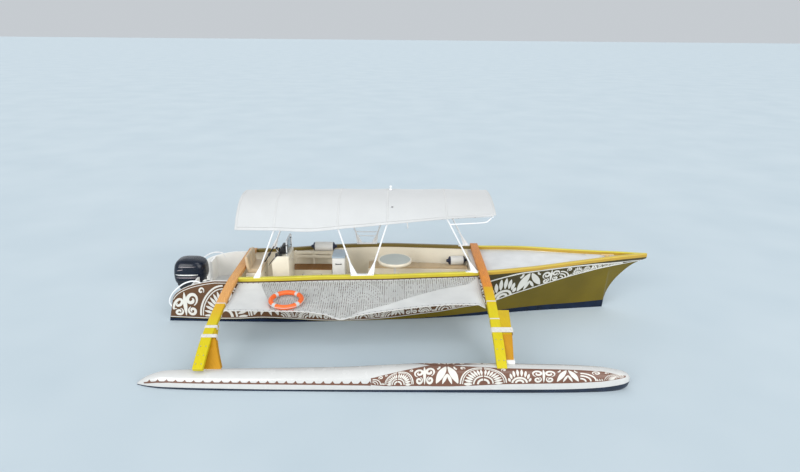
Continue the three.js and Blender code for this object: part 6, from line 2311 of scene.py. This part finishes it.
def fore_band(body, side):
    """A row of motifs that shrink towards the bow, as the band does."""
    onto = onto_side(side, band_low, band_top)
    height = lambda x: np.maximum(band_top(x) - band_low(x) - 0.028, 0.01)
    x, turn = BAND_FROM, 0
    while x < BAND_TO:
        width = max(float(band_top(x + 0.1) - band_low(x + 0.1)) * 1.02, 0.05)
        motif = (fan, leaves, curls, waves, fan)[turn % 5]
        lay(body, motif, x, width, shifted(band_low, 0.014), height, onto, turn % 2 == 1)
        x, turn = x + width * 1.01, turn + 1
    onto = onto_side(side, shifted(band_low, -0.02), shifted(band_top, 0.02))
    for line in (shifted(band_top, -0.010), shifted(band_low, 0.010)):
        edge_stroke(body, BAND_FROM, 4.34, 90, line, 0.018, onto)


AFT_ROWS = [  # its ends, where its foot stands in the band, its height there, how many, which
    (-4.76, -2.64, 0.0, 1.0, 4, (curls, shell, shell, leaves)),
    (-2.62, 1.48, 0.0, 0.36, 15, (shell, shell, leaves, curls, fan, waves)),
    (-2.62, 1.48, 0.42, 0.55, 10, (leaves, curls, fan, shell, shell)),
]


def aft_band(body, side):
    """Two rows of motifs with teeth between them, and one tall row at the stern."""
    onto = onto_side(side, shifted(skirt_low, 0.01), side_top)
    tall = lambda x: side_top(x) - skirt_low(x)
    up = lambda x, share: skirt_low(x) + 0.02 + tall(x) * share
    for start, end, share, part, count, order in AFT_ROWS:
        width = (end - start) / count
        foot = lambda x: up(x, share)
        height = lambda x: np.maximum((tall(x) - 0.03) * part - 0.02, 0.01)
        for turn in range(count):
            motif, x = order[turn % len(order)], start + turn * width
            lay(body, motif, x, width * 0.985, foot, height, onto, turn % 2 == 0)
    edging = onto_side(side, shifted(skirt_low, -0.02), shifted(side_top, 0.03))
    edge_stroke(body, -4.72, 1.48, 200, shifted(side_top, -0.004), 0.013, edging)
    pitch, high = 0.045, 0.035
    for x in np.arange(-2.6, 1.46, pitch):
        z = up(x, 0.365)
        tooth = [(x, z), (x, z + high * 0.5), (x, z + high)]
        body.add(stroke(tooth, np.array([pitch * 0.8, pitch * 0.45, pitch * 0.05]), onto))


for name, side in SIDES.items():
    body = Body()
    fore_band(body, side)
    aft_band(body, side)
    show("pattern_" + name, body, ink_white, slot="white")
    print("pattern", name, "faces:", len(body.faces))

# %% Bands on the float
FLOAT_LINE = [
    (-4.45, 0.055), (-4.2, 0.107), (-4.0, 0.122), (-3.0, 0.13), (-0.77, 0.13), (-0.5, 0.105),
    (0.57, 0.105), (1.43, 0.16), (2.58, 0.179), (3.02, 0.196), (3.4, 0.236),
]
GROUND_FROM, GROUND_TO, TOOTH_PITCH = -0.72, 3.40, 0.149
float_line = line_at(FLOAT_LINE)


def onto_float(side, thicker):
    """Lays (x, w) on the float's skin, w being a girth above its painted line."""
    def onto(x, w, off):
        top, bottom = read(FLOAT, x, "top_z"), read(FLOAT, x, "bottom_z")
        high = (top - bottom) / 2
        lift = np.clip((float_line(x) - (top + bottom) / 2) / high, -1, 1)
        start = np.arcsin(bent(lift, 1 / FLOAT_POWER))
        share = np.clip(w / ((high + read(FLOAT, x, "half")) * 0.80), -0.3, 1)
        place = float_point(x, start + share * (math.pi / 2 - start), off * thicker)
        if side > 0:
            place[..., 1] = 2 * FLOAT_Y - place[..., 1]
        return place
    return onto


def top_share(x):
    """How much of the float's girth the pattern covers: it starts low and reaches the top."""
    grown = np.clip(0.40 + (x + 0.7) * 0.62, 0.40, 0.98)
    return grown * np.interp(x, [3.0, 3.4], [1.0, 0.72])


def float_tall(x):
    return (read(FLOAT, x, "top_z") - float_line(x)) * 1.36 * top_share(x)


def float_ground(side):
    """The brown ground of the float's forward half and the toothed line aft of it."""
    onto, body = onto_float(side, 1.0), Body()
    xs = np.linspace(-4.42, GROUND_FROM - 0.005, 110)
    body.add(stroke(np.stack([xs, np.full(110, 0.006)], -1), 0.026, onto, 3))
    for x in np.arange(-4.32, GROUND_FROM, TOOTH_PITCH):
        tooth = [(x, 0.012), (x, 0.03), (x + 0.004, 0.062)]
        body.add(stroke(tooth, np.array([0.105, 0.045, 0.006]), onto, 4))
    xs = np.linspace(GROUND_FROM, GROUND_TO, 130)
    middle = np.stack([xs, float_tall(xs) / 2 + 0.004], -1)
    return body.add(stroke(middle, float_tall(xs), onto_float(side, 0.6), 16))


FLOAT_ORDER = (waves, shell, shell, curls, leaves, shell, shell, fan, curls, leaves)


def float_pattern(side):
    onto, body = onto_float(side, 1.6), Body()
    foot = lambda x: np.full(len(x), 0.016)
    x, turn = GROUND_FROM + 0.02, 0
    while x < 3.2:
        width = min(0.19 + 0.19 * float(smoothstep(x, -0.7, 0.3)), GROUND_TO - 0.03 - x)
        motif = FLOAT_ORDER[turn % len(FLOAT_ORDER)]
        height = lambda x: float_tall(x) * 0.93
        lay(body, motif, x, width, foot, height, onto, turn % 2 == 0)
        x, turn = x + width * 1.02, turn + 1
    return body


for name, side in (("near", -1), ("far", 1)):
    pattern = float_pattern(side)
    show("float_ground_" + name, float_ground(side), ink_brown, slot="varnish")
    show("float_pattern_" + name, pattern, ink_white, slot="white")
    print("pattern on the float,", name, "faces:", len(pattern.faces))


# %% [markdown]
# ## Floor and finish
# The floor is a pale plane at the waterline. It is stage, not part of the boat, so it is declared as
# such. The sizes of the frame and of the dressed boat are put side by side, and the dressed size is
# printed.

# %% Floor
FLOOR_HALF = 400


def floor():
    made = bmesh.new()
    bmesh.ops.create_grid(made, x_segments=1, y_segments=1, size=FLOOR_HALF)
    mesh = bpy.data.meshes.new("floor")
    made.to_mesh(mesh)
    made.free()
    finish, tree = shaded("floor_pale", (0.52, 0.60, 0.65), 0.8)
    drift = noise(tree, places(tree), 0.4, 2)
    colour = tints(tree, drift, (0.50, 0.585, 0.635), (0.54, 0.62, 0.665))
    tree.links.new(colour, tree.nodes["Principled BSDF"].inputs["Base Color"])
    mesh.materials.append(finish)
    placed("floor", mesh)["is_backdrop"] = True


floor()

# %% Sizes and end
low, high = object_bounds()
sizes = {"cad": [list(cad_low), list(cad_high)], "visual": [list(low), list(high)]}
print("size now:", [round(b - a, 3) for a, b in zip(low, high)])
